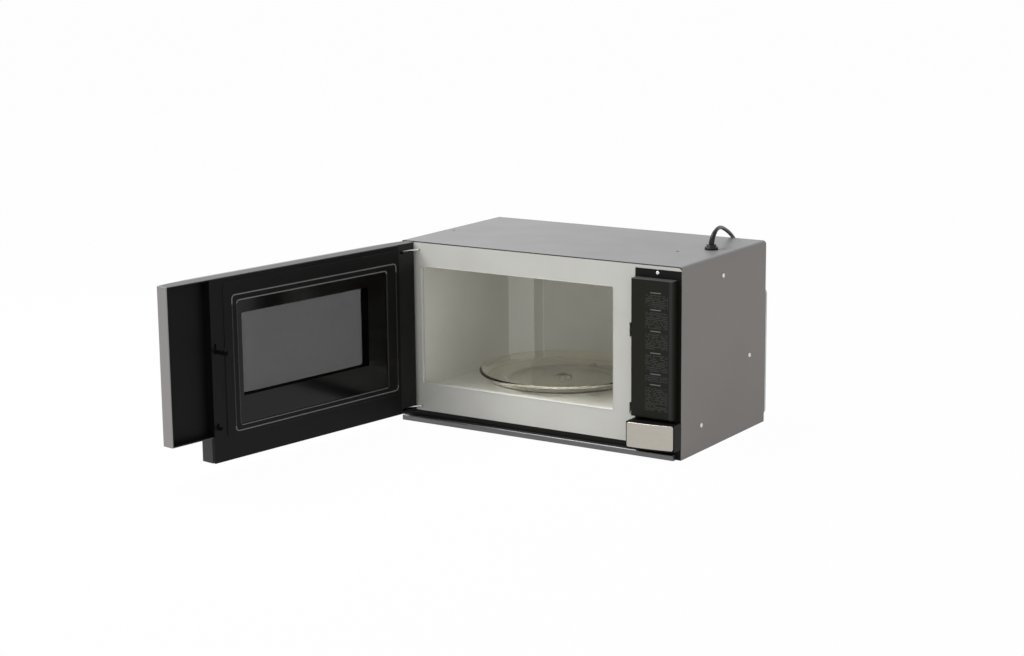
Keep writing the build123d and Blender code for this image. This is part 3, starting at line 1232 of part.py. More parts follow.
# Latch hooks on their bar, with the spring above it
HOOK_LEFT, HOOK_RIGHT = HOOK_X - HOOK_THICK / 2, HOOK_X + HOOK_THICK / 2
PRONG = 5.0
with BuildPart(DOOR) as latch_hooks:
    slab(BAR, (BAR_FRONT, BAR_REAR), (LOWER_HOOK[0] - 8, BAR_TOP))
    for (low, high), reach in ((UPPER_HOOK, UPPER_REACH), (LOWER_HOOK, LOWER_REACH)):
        with BuildSketch(on_door(from_side(HOOK_LEFT))):
            with BuildLine():
                Polyline(
                    (BAR_FRONT + 2, low),
                    (FRONT + reach - 3, low),
                    (FRONT + reach, low + 2.5),
                    (FRONT + reach, high),
                    (BAR_FRONT + 2, high),
                    close=True,
                )
            make_face()
        extrude(amount=HOOK_THICK)
    for y in (FRONT + UPPER_REACH - 4, FRONT + UPPER_REACH - 15):
        with BuildSketch(on_door(from_side(HOOK_LEFT))):
            with BuildLine():
                Polyline(
                    (y, UPPER_HOOK[1] - 1),
                    (y + 4, UPPER_HOOK[1] - 1),
                    (y + 4, UPPER_HOOK[1] + PRONG - 2),
                    (y + 2.5, UPPER_HOOK[1] + PRONG),
                    close=True,
                )
            make_face()
        extrude(amount=HOOK_THICK)
latch_hooks.part.label = "latch_hooks"

with BuildPart(DOOR) as latch_spring:
    with BuildSketch(DOOR.offset(BAR_TOP + SEAT)):
        with Locations((HOOK_X, (BAR_FRONT + BAR_REAR) / 2)):
            Circle(2.9)
            Circle(2.1, mode=Mode.SUBTRACT)
    extrude(amount=SPRING_LUG - BAR_TOP - SEAT)
latch_spring.part.label = "latch_spring"

# Bush in the top sheet, from its collar inside to the cord's exit
BUSH_TOP = HEIGHT + BUSHING_TOP
with BuildPart() as cord_bushing:
    with BuildSketch(Plane.XY.offset(CEILING - 8)):
        with Locations((BUSHING_X, BUSHING_Y)):
            Circle(BUSHING_R - 3 - SEAM)
    extrude(amount=8 + SHEET)
    with BuildSketch(Plane.XY.offset(CEILING - 3)):
        with Locations((BUSHING_X, BUSHING_Y)):
            Circle(BUSHING_R - 1)
    extrude(amount=3)
    with BuildSketch(Plane.XY.offset(HEIGHT)):
        with Locations((BUSHING_X, BUSHING_Y)):
            Circle(BUSHING_R)
    extrude(amount=4.0)
    with BuildSketch(Plane.XY.offset(HEIGHT + 4)):
        with Locations((BUSHING_X, BUSHING_Y)):
            Circle(BUSHING_R - 3)
    extrude(amount=BUSHING_TOP - 4, taper=22)
cord_bushing.part.label = "cord_bushing"

# Free stretch of the mains lead, over the rear edge and down to the coil behind
COIL_START = COIL_Y - COIL_R
COIL_LEAD = 2 * CORD_R
CORD_POINTS = (
    (BUSHING_X, BUSHING_Y, BUSH_TOP),
    (BUSHING_X, BUSHING_Y, HEIGHT + 18.5),
    (BUSHING_X + 0.6, BUSHING_Y + 6.5, HEIGHT + 32.0),
    (BUSHING_X - 0.6, BUSHING_Y + 20.5, HEIGHT + 40.5),
    (BUSHING_X - 4.0, BUSHING_Y + 43.0, HEIGHT + 41.5),
    (BUSHING_X - 10.5, BUSHING_Y + 72.0, HEIGHT + 35.0),
    (BUSHING_X - 17.0, BUSHING_Y + 102.0, HEIGHT + 25.0),
    (BUSHING_X - 23.0, BUSHING_Y + 131.0, HEIGHT + 16.5),
    (BUSHING_X - 26.5, REAR + 19.5, HEIGHT + 4.0),
    (BUSHING_X - 28.0, REAR + 34.5, HEIGHT - 17.0),
    (BUSHING_X - 28.0, REAR + 38.5, HEIGHT - 53.0),
    (BUSHING_X - 26.5, REAR + 35.0, HEIGHT - 110.0),
    (BUSHING_X - 26.0, REAR + 34.0, HEIGHT - 180.0),
    (BUSHING_X - 28.0, REAR + 35.0, 100.0),
    (BUSHING_X - 34.0, COIL_START + 1.0, 38.0),
    (BUSHING_X - 56.0, COIL_START + 2.5, 7.0),
    (COIL_X + COIL_LEAD + 44.0, COIL_START, CORD_R),
    (COIL_X + COIL_LEAD, COIL_START, CORD_R),
)


def corner_radii(points):
    """The largest radius that each corner's two runs allow, at 0.45 of the shorter run."""
    radii = []
    for before, corner, after in zip(points, points[1:], points[2:]):
        first = Vector(corner) - Vector(before)
        second = Vector(after) - Vector(corner)
        half = math.radians(first.get_angle(second)) / 2
        radii.append(0.45 * min(first.length, second.length) / math.tan(half))
    return radii


cord_radii = corner_radii(CORD_POINTS)
with BuildPart() as power_cord:
    with BuildLine() as cord_line:
        FilletPolyline(*CORD_POINTS, radius=cord_radii)
    cord_path = cord_line.wire()
    with BuildSketch(Plane(origin=cord_path @ 0, z_dir=cord_path % 0)):
        Circle(CORD_R)
    sweep(path=cord_path)
power_cord.part.label = "power_cord"
print("cord corner radii", [round(radius, 1) for radius in cord_radii])
print("cord length", round(cord_path.length, 1), "volume", round(power_cord.part.volume, 1))
print("section times length", round(math.pi * CORD_R**2 * cord_path.length, 1))

# Coil of the rest: in along the floor, up a layer where it reverses, and out again
HALF_TURNS = 5
CLIMB = 2
ends = []
for step in range(HALF_TURNS + 1):
    inward = step if step <= CLIMB else HALF_TURNS - step
    radius = COIL_R - inward * COIL_PITCH / 2
    height = CORD_R + (COIL_RISE if step > CLIMB else 0)
    ends.append(Vector(COIL_X, COIL_Y + (radius if step % 2 else -radius), height))
coil_points = []
with BuildPart() as cord_coil:
    with BuildLine() as coil_line:
        Line(ends[0] + Vector(COIL_LEAD, 0, 0), ends[0])
        for step, (start, end) in enumerate(zip(ends, ends[1:])):
            middle = (start + end) / 2
            spoke = start - middle
            side = Vector(-1 if step % 2 == 0 else 1, 0, 0) * spoke.length
            points = [
                middle + spoke * math.cos(math.radians(angle)) + side * math.sin(math.radians(angle))
                for angle in range(0, 181, 5)
            ]
            coil_points += points[:-1]
            ThreePointArc(points[0], points[9], points[18])
            ThreePointArc(points[18], points[27], points[36])
        Line(ends[-1], ends[-1] + Vector(COIL_LEAD, 0, 0))
    coil_path = coil_line.wire()
    with BuildSketch(Plane(origin=coil_path @ 0, z_dir=coil_path % 0)):
        Circle(CORD_R)
    sweep(path=coil_path)
cord_coil.part.label = "cord_coil"
least = min(
    (coil_points[i] - coil_points[j]).length
    for i in range(len(coil_points))
    for j in range(i + 12, len(coil_points))
)
print("coil length", round(coil_path.length, 1), "least gap", round(least - 2 * CORD_R, 2))
print("coil volume", round(cord_coil.part.volume, 1), round(math.pi * CORD_R**2 * coil_path.length, 1))

# Plug at the coil's outer end: strain relief, body and three blades
PLUG_X = COIL_X + COIL_LEAD
PLUG_Y = COIL_Y + COIL_R
PLUG_Z = CORD_R + COIL_RISE
RELIEF = 26.0
PLUG_BODY = 34.0
BLADE_X = PLUG_X + RELIEF + PLUG_BODY
with BuildPart() as plug:
    with BuildSketch(from_side(PLUG_X)):
        with Locations((PLUG_Y, PLUG_Z)):
            Circle(CORD_R + 1.2)
    with BuildSketch(from_side(PLUG_X + RELIEF)):
        with Locations((PLUG_Y, PLUG_Z)):
            Circle(7.5)
    loft()
    with BuildSketch(from_side(PLUG_X + RELIEF)):
        with Locations((PLUG_Y, PLUG_Z)):
            RectangleRounded(2 * PLUG_R + 6, 2 * PLUG_R, 8.0)
    extrude(amount=PLUG_BODY)
    fillet(plug.faces().sort_by(Axis.X)[-1].edges(), 2.0)
    with BuildSketch(from_side(BLADE_X)):
        with Locations((PLUG_Y, PLUG_Z + 2.5)):
            with GridLocations(12.7, 1, 2, 1):
                Rectangle(1.5, 6.3)
        with Locations((PLUG_Y, PLUG_Z - 6.0)):
            Circle(2.4)
    extrude(amount=17.0)
plug.part.label = "plug"

os.makedirs("parts", exist_ok=True)
PIECES = [
    outer_case,
    case_screws,
    mount_nuts,
    base_plate,
    rear_panel,
    front_flange,
    oven_cavity,
    waveguide_cover,
    waveguide,
    magnetron,
    transformer_core,
    transformer_coil,
    hv_capacitor,
    hv_diode,
    fan_shroud,
    fan_motor,
    fan_blade,
    lamp_socket,
    oven_lamp,
    filter_board,
    power_board,
    thermostat,
    turntable_motor,
    drive_coupler,
    glass_tray,
    roller_ring,
    front_plate,
    menu_panel,
    sill,
    bottom_trim,
    hinge_plates,
    latch_base,
    interlock_switches,
    plunger_upper,
    plunger_lower,
    button_bezel,
    button_cap,
    button_carrier,
    release_slider,
    release_spring,
    door_skin,
    door_end_caps,
    door_window,
    control_fascia,
    recess_cover,
    key_board,
    door_frame,
    window_screen,
    door_bushes,
    choke_cover,
    inner_window,
    latch_hooks,
    latch_spring,
    cord_bushing,
    power_cord,
    cord_coil,
    plug,
]
for piece in PIECES + rollers:
    export_step(piece.part, f"parts/{piece.part.label}.step")
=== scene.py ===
import json
import math

import bmesh
import bpy
from mathutils import Matrix, Vector

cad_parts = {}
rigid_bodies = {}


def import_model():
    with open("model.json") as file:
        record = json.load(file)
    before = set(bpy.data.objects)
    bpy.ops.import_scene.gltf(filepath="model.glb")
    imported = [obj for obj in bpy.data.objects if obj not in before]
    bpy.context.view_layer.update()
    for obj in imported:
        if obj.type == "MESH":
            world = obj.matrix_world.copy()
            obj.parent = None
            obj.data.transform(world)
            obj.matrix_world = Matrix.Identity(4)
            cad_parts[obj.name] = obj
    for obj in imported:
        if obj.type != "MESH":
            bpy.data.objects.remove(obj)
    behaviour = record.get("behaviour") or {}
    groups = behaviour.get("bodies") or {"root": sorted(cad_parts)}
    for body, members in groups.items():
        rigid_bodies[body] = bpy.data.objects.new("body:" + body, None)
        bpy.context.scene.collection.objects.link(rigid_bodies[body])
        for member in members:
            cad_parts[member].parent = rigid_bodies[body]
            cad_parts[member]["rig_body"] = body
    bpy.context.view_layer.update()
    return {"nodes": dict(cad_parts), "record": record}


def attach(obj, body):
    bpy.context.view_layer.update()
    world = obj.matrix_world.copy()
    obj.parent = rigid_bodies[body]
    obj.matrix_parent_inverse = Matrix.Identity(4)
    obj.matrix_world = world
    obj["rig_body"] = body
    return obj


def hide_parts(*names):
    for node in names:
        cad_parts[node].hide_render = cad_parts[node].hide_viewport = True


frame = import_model()
nodes = frame["nodes"]
slots = {row["node"]: row["material_slot"] for row in frame["record"]["subparts"]}

# The door stands open about its hinge pins, and its pieces are laid out as if it were shut
HINGE = Vector((-0.2834, -0.186, 0))
DOOR_OPEN = math.radians(98.83)
SWING = Matrix.Translation(HINGE) @ Matrix.Rotation(-DOOR_OPEN, 4, "Z") @ Matrix.Translation(-HINGE)
# Stands a drawing on XY upright, with its Z to the rear
TO_REAR = Matrix(((1, 0, 0, 0), (0, 0, 1, 0), (0, 1, 0, 0), (0, 0, 0, 1)))

# Planes of the case, of the recess in the oven's rear wall, and of the shut door, in metres
FRONT, REAR, SIDE, TOP = -0.166, 0.165, 0.303, 0.350
CASE_BEND = 0.004
RECESS_FRONT, RECESS_LEFT = 0.1385, -0.1965
CHOKE_RIGHT, CONTROL_BOTTOM, DOOR_TOP = 0.2084, 0.0698, 0.3496

# The door's front is flat in the middle and falls back along an arc at each end
DOOR_FRONT = -0.20366
FLAT_LEFT, FLAT_RIGHT = -0.2059, 0.2062
BOW_R = 0.4701


def linear(*levels):
    """A colour from the 0 to 255 levels that it shows on a screen."""
    shares = [level / 255 for level in levels]
    return (*[(s + 0.055) ** 2.4 / 1.055**2.4 if s > 0.04045 else s / 12.92 for s in shares], 1)


def grey(level):
    """A neutral colour from its screen level."""
    return linear(level, level, level)


def dimmed(colour, share):
    """A colour with only a share of its light."""
    return (*[share * part for part in colour[:3]], 1)


class Tone:
    """A value or colour that comes out of a node. Sums and products of tones add Math nodes."""

    def __init__(self, owner, socket):
        self.owner = owner
        self.socket = socket

    def maths(self, operation, *values):
        return self.owner.node("Math", dict(enumerate(values)), operation=operation)

    def __add__(self, other):
        return self.maths("ADD", self, other)

    def __sub__(self, other):
        return self.maths("SUBTRACT", self, other)

    def __rsub__(self, other):
        return self.maths("SUBTRACT", other, self)

    def __mul__(self, other):
        return self.maths("MULTIPLY", self, other)

    def __truediv__(self, other):
        return self.maths("DIVIDE", self, other)

    def __lt__(self, other):
        return self.maths("LESS_THAN", self, other)

    def __gt__(self, other):
        return self.maths("GREATER_THAN", self, other)

    def __abs__(self):
        return self.maths("ABSOLUTE", self)

    def __mod__(self, other):
        return self.maths("FLOORED_MODULO", self, other)

    def __pow__(self, other):
        return self.maths("POWER", self, other)

    __radd__ = __add__
    __rmul__ = __mul__

    def floor(self):
        return self.maths("FLOOR", self)

    def least(self, other):
        return self.maths("MINIMUM", self, other)

    def most(self, other):
        return self.maths("MAXIMUM", self, other)

    def ramp(self, low, high):
        """0 below low and 1 above high, with a smooth step between them."""
        values = {0: self, 1: low, 2: high, 3: 0.0, 4: 1.0}
        return self.owner.node("MapRange", values, interpolation_type="SMOOTHSTEP")


class Nodes:
    """A node tree, emptied, and what goes into it."""

    def __init__(self, tree):
        self.tree = tree
        tree.nodes.clear()

    def node(self, kind, values, out=0, **settings):
        """Adds a node. Its settings come first, and then the values or links of its sockets."""
        made = self.tree.nodes.new("ShaderNode" + kind)
        for name, setting in settings.items():
            setattr(made, name, setting)
        for key, value in values.items():
            if isinstance(value, Tone):
                self.tree.links.new(value.socket, made.inputs[key])
            else:
                made.inputs[key].default_value = value
        return Tone(self, made.outputs[out]) if made.outputs else None

    def looked_at(self):
        """1 on a ray from the camera, a reflection or a clear piece, and 0 on one from a matt surface."""
        kinds = ("Is Camera Ray", "Is Glossy Ray", "Is Transmission Ray")
        camera_ray, mirrored, through = [self.node("LightPath", {}, out=kind) for kind in kinds]
        return (camera_ray + mirrored + through).least(1.0)


class Paint(Nodes):
    """A material. A door's patterns are laid out as if the door were shut."""

    def __init__(self, name, on_door=False):
        self.material = bpy.data.materials.new(name)
        self.material.use_nodes = True
        super().__init__(self.material.node_tree)
        self.place = self.node("TexCoord", {}, out="Object")
        if on_door:
            shut = {"Location": SWING.inverted().translation, "Rotation": (0, 0, DOOR_OPEN)}
            self.place = self.node("Mapping", {"Vector": self.place, **shut})

    def axes(self):
        """The three coordinates of the place, in metres."""
        return [self.node("SeparateXYZ", {0: self.place}, out=axis) for axis in range(3)]

    def noise(self, scale, stretch=(1, 1, 1), detail=3, rough=0.55):
        """A noise between 0 and 1, stretched along the axes with a small factor."""
        place = self.node("VectorMath", {0: self.place, 1: stretch}, operation="MULTIPLY")
        values = {"Vector": place, "Scale": scale, "Detail": detail, "Roughness": rough}
        return self.node("TexNoise", values, noise_dimensions="3D")

    def blend(self, mask, first, second):
        """The first colour where mask is 0, and the second where it is 1."""
        return self.node("Mix", {0: mask, 6: first, 7: second}, out=2, data_type="RGBA")

    def bump(self, height, depth):
        return self.node("Bump", {"Height": height, "Distance": depth})

    def shader(self, **values):
        named = {name.replace("_", " "): value for name, value in values.items()}
        return self.node("BsdfPrincipled", named)

    def done(self, shader):
        self.node("OutputMaterial", {"Surface": shader})
        return self.material


# The orange peel of baked paint
PEEL_SCALE, PEEL_DEPTH = 900, 0.00003


def baked(paint, colour, cloud, rough, **values):
    """Baked paint on steel: a fine orange peel, and a slightly uneven gloss."""
    return paint.done(
        paint.shader(
            Base_Color=colour,
            Roughness=rough + 0.08 * (cloud - 0.5),
            Normal=paint.bump(paint.noise(PEEL_SCALE, detail=2), PEEL_DEPTH),
            **values,
        )
    )


def painted_sheet(name, colour, darker, rough, shine=0.5):
    """Baked paint with a slight unevenness of tone."""
    paint = Paint(name)
    cloud = paint.noise(9, detail=4)
    sheet = paint.blend(cloud.ramp(0.3, 0.75), colour, darker)
    return baked(paint, sheet, cloud, rough, Specular_IOR_Level=shine)


def case_paint(name):
    """The case's satin grey paint, with painted shade of the gap along its top front edge. Its sides are
    painted a little warmer, as a painted reflection.
    """
    paint = Paint(name)
    across, depth, up = paint.axes()
    cloud = paint.noise(7, detail=4)
    sheet = paint.blend(cloud.ramp(0.3, 0.75), linear(126, 126, 127), linear(121, 121, 121))
    # Painted reflection: the sides are painted a little warmer than the top
    side = (abs(across) - SIDE + CASE_BEND).ramp(0.0, CASE_BEND)
    sheet = paint.blend(side, sheet, linear(132, 127, 124))
    # Painted shade: the gap between the case's top front edge and the flange, painted dark on the edge
    painted_gap_shade = (depth < FRONT + 0.0004) * (up > TOP - CASE_BEND)
    return baked(paint, paint.blend(painted_gap_shade, sheet, grey(58)), cloud, 0.46, Metallic=0.2)


def cavity_paint(name):
    """The oven's enamel, with painted light on the turned side of the recess in its rear wall, which is
    painted paler.
    """
    paint = Paint(name)
    across, depth, _ = paint.axes()
    cloud = paint.noise(9, detail=4)
    wall = paint.blend(cloud.ramp(0.3, 0.75), linear(240, 239, 231), linear(234, 233, 225))
    # Painted light: the turned side of the recess is painted paler than the rest of the enamel
    painted_recess_light = (depth > RECESS_FRONT) * (across < RECESS_LEFT + 0.002)
    wall = paint.blend(painted_recess_light, wall, linear(254, 254, 248))
    return baked(paint, wall, cloud, 0.34, Specular_IOR_Level=0.4)


# How far behind the rear cover the painted shade round its bulge's foot starts and ends, and the painted
# highlight along the bulge's edge ends
SHADE_START, SHADE_END, HIGHLIGHT_END = 0.0016, 0.0165, 0.0215


def rear_paint(name):
    """The rear cover's grey paint, with painted shade in black round the foot of its bulge and a painted
    highlight along the bulge's edge.
    """
    paint = Paint(name)
    _, depth, _ = paint.axes()
    cloud = paint.noise(9, detail=4)
    # Painted shade in black round the bulge's foot, and a painted highlight along the bulge's edge
    painted_foot_shade = (depth > REAR + SHADE_START) * (depth < REAR + SHADE_END)
    rim = (depth > REAR + SHADE_END) * (depth < REAR + HIGHLIGHT_END)
    sheet = paint.blend(rim, paint.blend(cloud, grey(150), grey(142)), grey(232))
    return baked(paint, paint.blend(painted_foot_shade, sheet, grey(14)), cloud, 0.46, Metallic=0.2 * (1 - painted_foot_shade))


# Stretches of the scratches in brushed steel, all long on X
ALONG_X = (35, 1400, 1400)
FINE_X = (60, 4200, 4200)


def brushed(paint, along, colour, darker):
    """A grain of fine scratches, long on one axis, and the uneven colour that it gives."""
    grain = paint.noise(1, along, detail=5, rough=0.7)
    wide = paint.noise(0.16, along, detail=2)
    return grain, paint.blend((0.6 * grain + 0.4 * wide).ramp(0.3, 0.7), darker, colour)


def brushed_steel(name, colour, darker, along, rough=0.3, depth=0.00001):
    """Bare brushed steel."""
    paint = Paint(name)
    grain, sheet = brushed(paint, along, colour, darker)
    return paint.done(
        paint.shader(
            Base_Color=sheet,
            Roughness=rough + 0.1 * (grain - 0.5),
            Metallic=1.0,
            Normal=paint.bump(grain, depth),
        )
    )


def door_steel(name):
    """The door's brushed sheet: darker and duller on its folded edge, with a painted highlight along the
    fold's front, and black where it turns in by the button.
    """
    paint = Paint(name, on_door=True)
    across, depth, up = paint.axes()
    grain, sheet = brushed(paint, ALONG_X, linear(205, 202, 197), linear(184, 181, 176))
    folded = (up > DOOR_TOP - 0.0006).most(depth > FRONT - 0.0056)
    sheet = paint.blend(folded, sheet, grey(92))
    # Painted highlight: a lighter band along the front of the folded top edge
    sheet = paint.blend(folded * (depth < DOOR_FRONT + 0.006), sheet, grey(150))
    turned_in = (across > CHOKE_RIGHT - 0.0008) * (up < CONTROL_BOTTOM) * (depth > DOOR_FRONT + 0.001)
    return paint.done(
        paint.shader(
            Base_Color=paint.blend(turned_in, sheet, grey(16)),
            Roughness=0.3 + 0.1 * (grain - 0.5) + 0.14 * folded,
            Metallic=1 - turned_in,
            Normal=paint.bump(grain, 0.00001),
        )
    )


def cap_paint(name):
    """The door's end caps: black where they wrap round the hinges, satin grey at the far end."""
    paint = Paint(name, on_door=True)
    far = paint.axes()[0] > 0.0
    cloud = paint.noise(30)
    return paint.done(
        paint.shader(
            Base_Color=paint.blend(far, grey(18), linear(150, 147, 146)),
            Roughness=0.42 + 0.06 * (cloud - 0.5),
            Metallic=0.65 * far,
            Specular_IOR_Level=0.3,
            Normal=paint.bump(paint.noise(1100), 0.00002),
        )
    )


def moulded(name, colour, rough, texture=0.00006, gloss=0.0, scale=1500, shine=0.5):
    """Moulded plastic with a fine spark-eroded texture."""
    paint = Paint(name)
    skin = paint.noise(scale, detail=2)
    cloud = paint.noise(14)
    return paint.done(
        paint.shader(
            Base_Color=paint.blend(cloud, colour, dimmed(colour, 0.75)),
            Roughness=rough + 0.1 * (skin - 0.5),
            Specular_IOR_Level=shine,
            Coat_Weight=gloss,
            Coat_Roughness=0.08,
            Normal=paint.bump(skin, texture),
        )
    )


# The level stretches of the door's ridges lie above the first height and below the second
RIDGE_TOPS, RIDGE_FOOTS = 0.300, 0.0826


def ridge_gloss(name):
    """The fine ridges of the door's inner side, with a painted highlight where they lie level."""
    paint = Paint(name, on_door=True)
    _, _, up = paint.axes()
    # Painted highlight on the level stretches of the ridges, patchy along them
    level = (up > RIDGE_TOPS).most(up < RIDGE_FOOTS)
    highlight_patches = paint.noise(30)
    return paint.done(
        paint.shader(
            Base_Color=paint.blend(level * (0.7 + 0.3 * highlight_patches), grey(46), grey(132)),
            Roughness=0.3,
            Specular_IOR_Level=0.3,
        )
    )


def plated(name, colour, rough, spots=160):
    """Zinc plating or galvanising: metal with a faint crystal pattern."""
    paint = Paint(name)
    grains = paint.node("TexVoronoi", {"Vector": paint.place, "Scale": spots}, out="Color")
    grain = paint.node("SeparateColor", {0: grains})
    fine = paint.noise(1200)
    return paint.done(
        paint.shader(
            Base_Color=paint.blend(grain * 0.5, colour, dimmed(colour, 0.7)),
            Roughness=rough + 0.12 * grain + 0.05 * fine,
            Metallic=1.0,
            Normal=paint.bump(fine, 0.00001),
        )
    )


def sheet_glass(name, tint, gloss, rough=0.03, printed=None):
    """A clear sheet: what is behind it shows through its tint. Outside the printed limits it is black."""
    paint = Paint(name, on_door=True)
    smear = paint.noise(18, detail=3)
    clear = paint.node("BsdfTransparent", {"Color": tint})
    face = paint.shader(
        Base_Color=grey(10),
        Roughness=rough + 0.03 * smear,
        Specular_IOR_Level=0.22,
    )
    rim = paint.node("LayerWeight", {"Blend": 0.2}, out="Facing")
    covered = gloss + (1 - gloss) * rim**4.0
    if printed:
        left, right, bottom, top = printed
        across, _, up = paint.axes()
        inside = (across > left) * (across < right) * (up > bottom) * (up < top)
        covered = covered.most(1 - inside)
    return paint.done(paint.node("MixShader", {0: covered, 1: clear, 2: face}))


def pierced_screen(name, pitch, hole):
    """The window's steel screen: rows of round holes, each row set off from the next by half a pitch."""
    paint = Paint(name, on_door=True)
    across, _, up = paint.axes()
    row = math.sqrt(3)

    def to_hole(shift):
        """The distance in pitches from the nearest hole of one of the two square grids."""
        u = abs((across / pitch + shift) % 1 - 0.5)
        v = abs((up / (pitch * row) + shift) % 1 - 0.5) * row
        return (u**2.0 + v**2.0) ** 0.5

    solid = to_hole(0.0).least(to_hole(0.5)) > hole / pitch
    return paint.done(paint.shader(Base_Color=grey(30), Roughness=0.5, Metallic=0.3, Alpha=solid))


def tray_glass(name):
    """Clear pressed glass, faintly rippled."""
    paint = Paint(name)
    ripple = paint.noise(40, detail=2)
    return paint.done(
        paint.shader(
            Base_Color=linear(250, 248, 240),
            Roughness=0.03 + 0.05 * ripple,
            Transmission_Weight=1.0,
            IOR=1.2,
            Normal=paint.bump(ripple, 0.0001),
        )
    )


def wound_copper(name):
    """Enamelled wire in layers, as fine ridges."""
    paint = Paint(name)
    _, _, up = paint.axes()
    ridge = abs((up / 0.0011) % 1 - 0.5)
    return paint.done(
        paint.shader(
            # Painted shade: the copper is darker towards the gaps between the turns of wire
            Base_Color=paint.blend(ridge * 2, linear(168, 92, 52), linear(92, 44, 24)),
            Roughness=0.35 + 0.1 * paint.noise(300),
            Metallic=0.9,
            Normal=paint.bump(0.5 - ridge, 0.0003),
        )
    )


# The raised panel: its face, its top rim and its right bend, and the pitch of the rows and words on it
CARD_FACE, CARD_RIM, CARD_BEND = FRONT - 0.0175, 0.3252, 0.2868
CARD_LINE, CARD_WORD = 0.0031, 0.0034
# Middle and half width of the rows and of the title bars, and a bar's half height
ROWS_AT, ROWS_HALF = 0.2620, 0.0225
BAR_AT, BAR_HALF, BAR_THIN = 0.2600, 0.0105, 0.0009
# Title bar, and the top and bottom of the rows under it, down the raised panel
CARD_ROWS = (
    (0.3030, 0.299, 0.276),
    (0.2725, 0.268, 0.238),
    (0.2340, 0.230, 0.200),
    (0.1945, 0.191, 0.161),
    (0.1565, 0.153, 0.143),
    (0.1370, 0.131, 0.089),
)


def printed_card(name, plain, ink):
    """The raised panel's print: title bars over rows of faint dashes, with painted light on its top rim and
    its right bend.
    """
    paint = Paint(name)
    across, depth, up = paint.axes()
    row = (up / CARD_LINE).floor()
    column = (across / CARD_WORD).floor()
    place = paint.node("CombineXYZ", {0: column, 2: row})
    said = paint.node("TexWhiteNoise", {"Vector": place}, out="Value") > 0.22
    dashes = said * ((up / CARD_LINE) % 1 < 0.5) * (abs(across - ROWS_AT) < ROWS_HALF)
    marks = 0.0
    for title, high, low in CARD_ROWS:
        rows = (up < high) * (up > low)
        bar = (abs(up - title) < BAR_THIN) * (abs(across - BAR_AT) < BAR_HALF)
        marks = marks + 0.11 * rows * dashes + 0.5 * bar
    face = depth < CARD_FACE
    # Painted highlight: the top rim behind the face is painted lighter
    rim = (up > CARD_RIM) * (depth > CARD_FACE)
    # Painted light: the face past the right bend is painted lighter
    plain = paint.blend((across > CARD_BEND) * face, plain, grey(46))
    skin = paint.noise(1300, detail=2)
    return paint.done(
        paint.shader(
            Base_Color=paint.blend(rim, paint.blend(marks * face, plain, ink), grey(66)),
            Roughness=0.4 + 0.12 * skin,
            Specular_IOR_Level=0.14,
            Normal=paint.bump(skin, 0.00005),
        )
    )


# The plug's blades stand out of its moulding past here
PLUG_FACE = 0.1673


def plug_rubber(name):
    """The plug's black moulding, and its bright blades."""
    paint = Paint(name)
    blades = paint.axes()[0] > PLUG_FACE
    rub = paint.noise(60, detail=3)
    return paint.done(
        paint.shader(
            Base_Color=paint.blend(blades, grey(24), linear(206, 196, 170)),
            Roughness=0.4 - 0.14 * blades + 0.1 * rub,
            Metallic=blades,
            Normal=paint.bump(paint.noise(1400), 0.00003),
        )
    )


def lead_rubber(name):
    """The black jacket of the lead, a little lighter where it has rubbed."""
    paint = Paint(name)
    rub = paint.noise(60, detail=3)
    return paint.done(
        paint.shader(
            Base_Color=paint.blend(rub.ramp(0.45, 0.8), grey(11), grey(24)),
            Roughness=0.34 + 0.12 * rub,
            Specular_IOR_Level=0.28,
            Normal=paint.bump(paint.noise(1400), 0.00003),
        )
    )


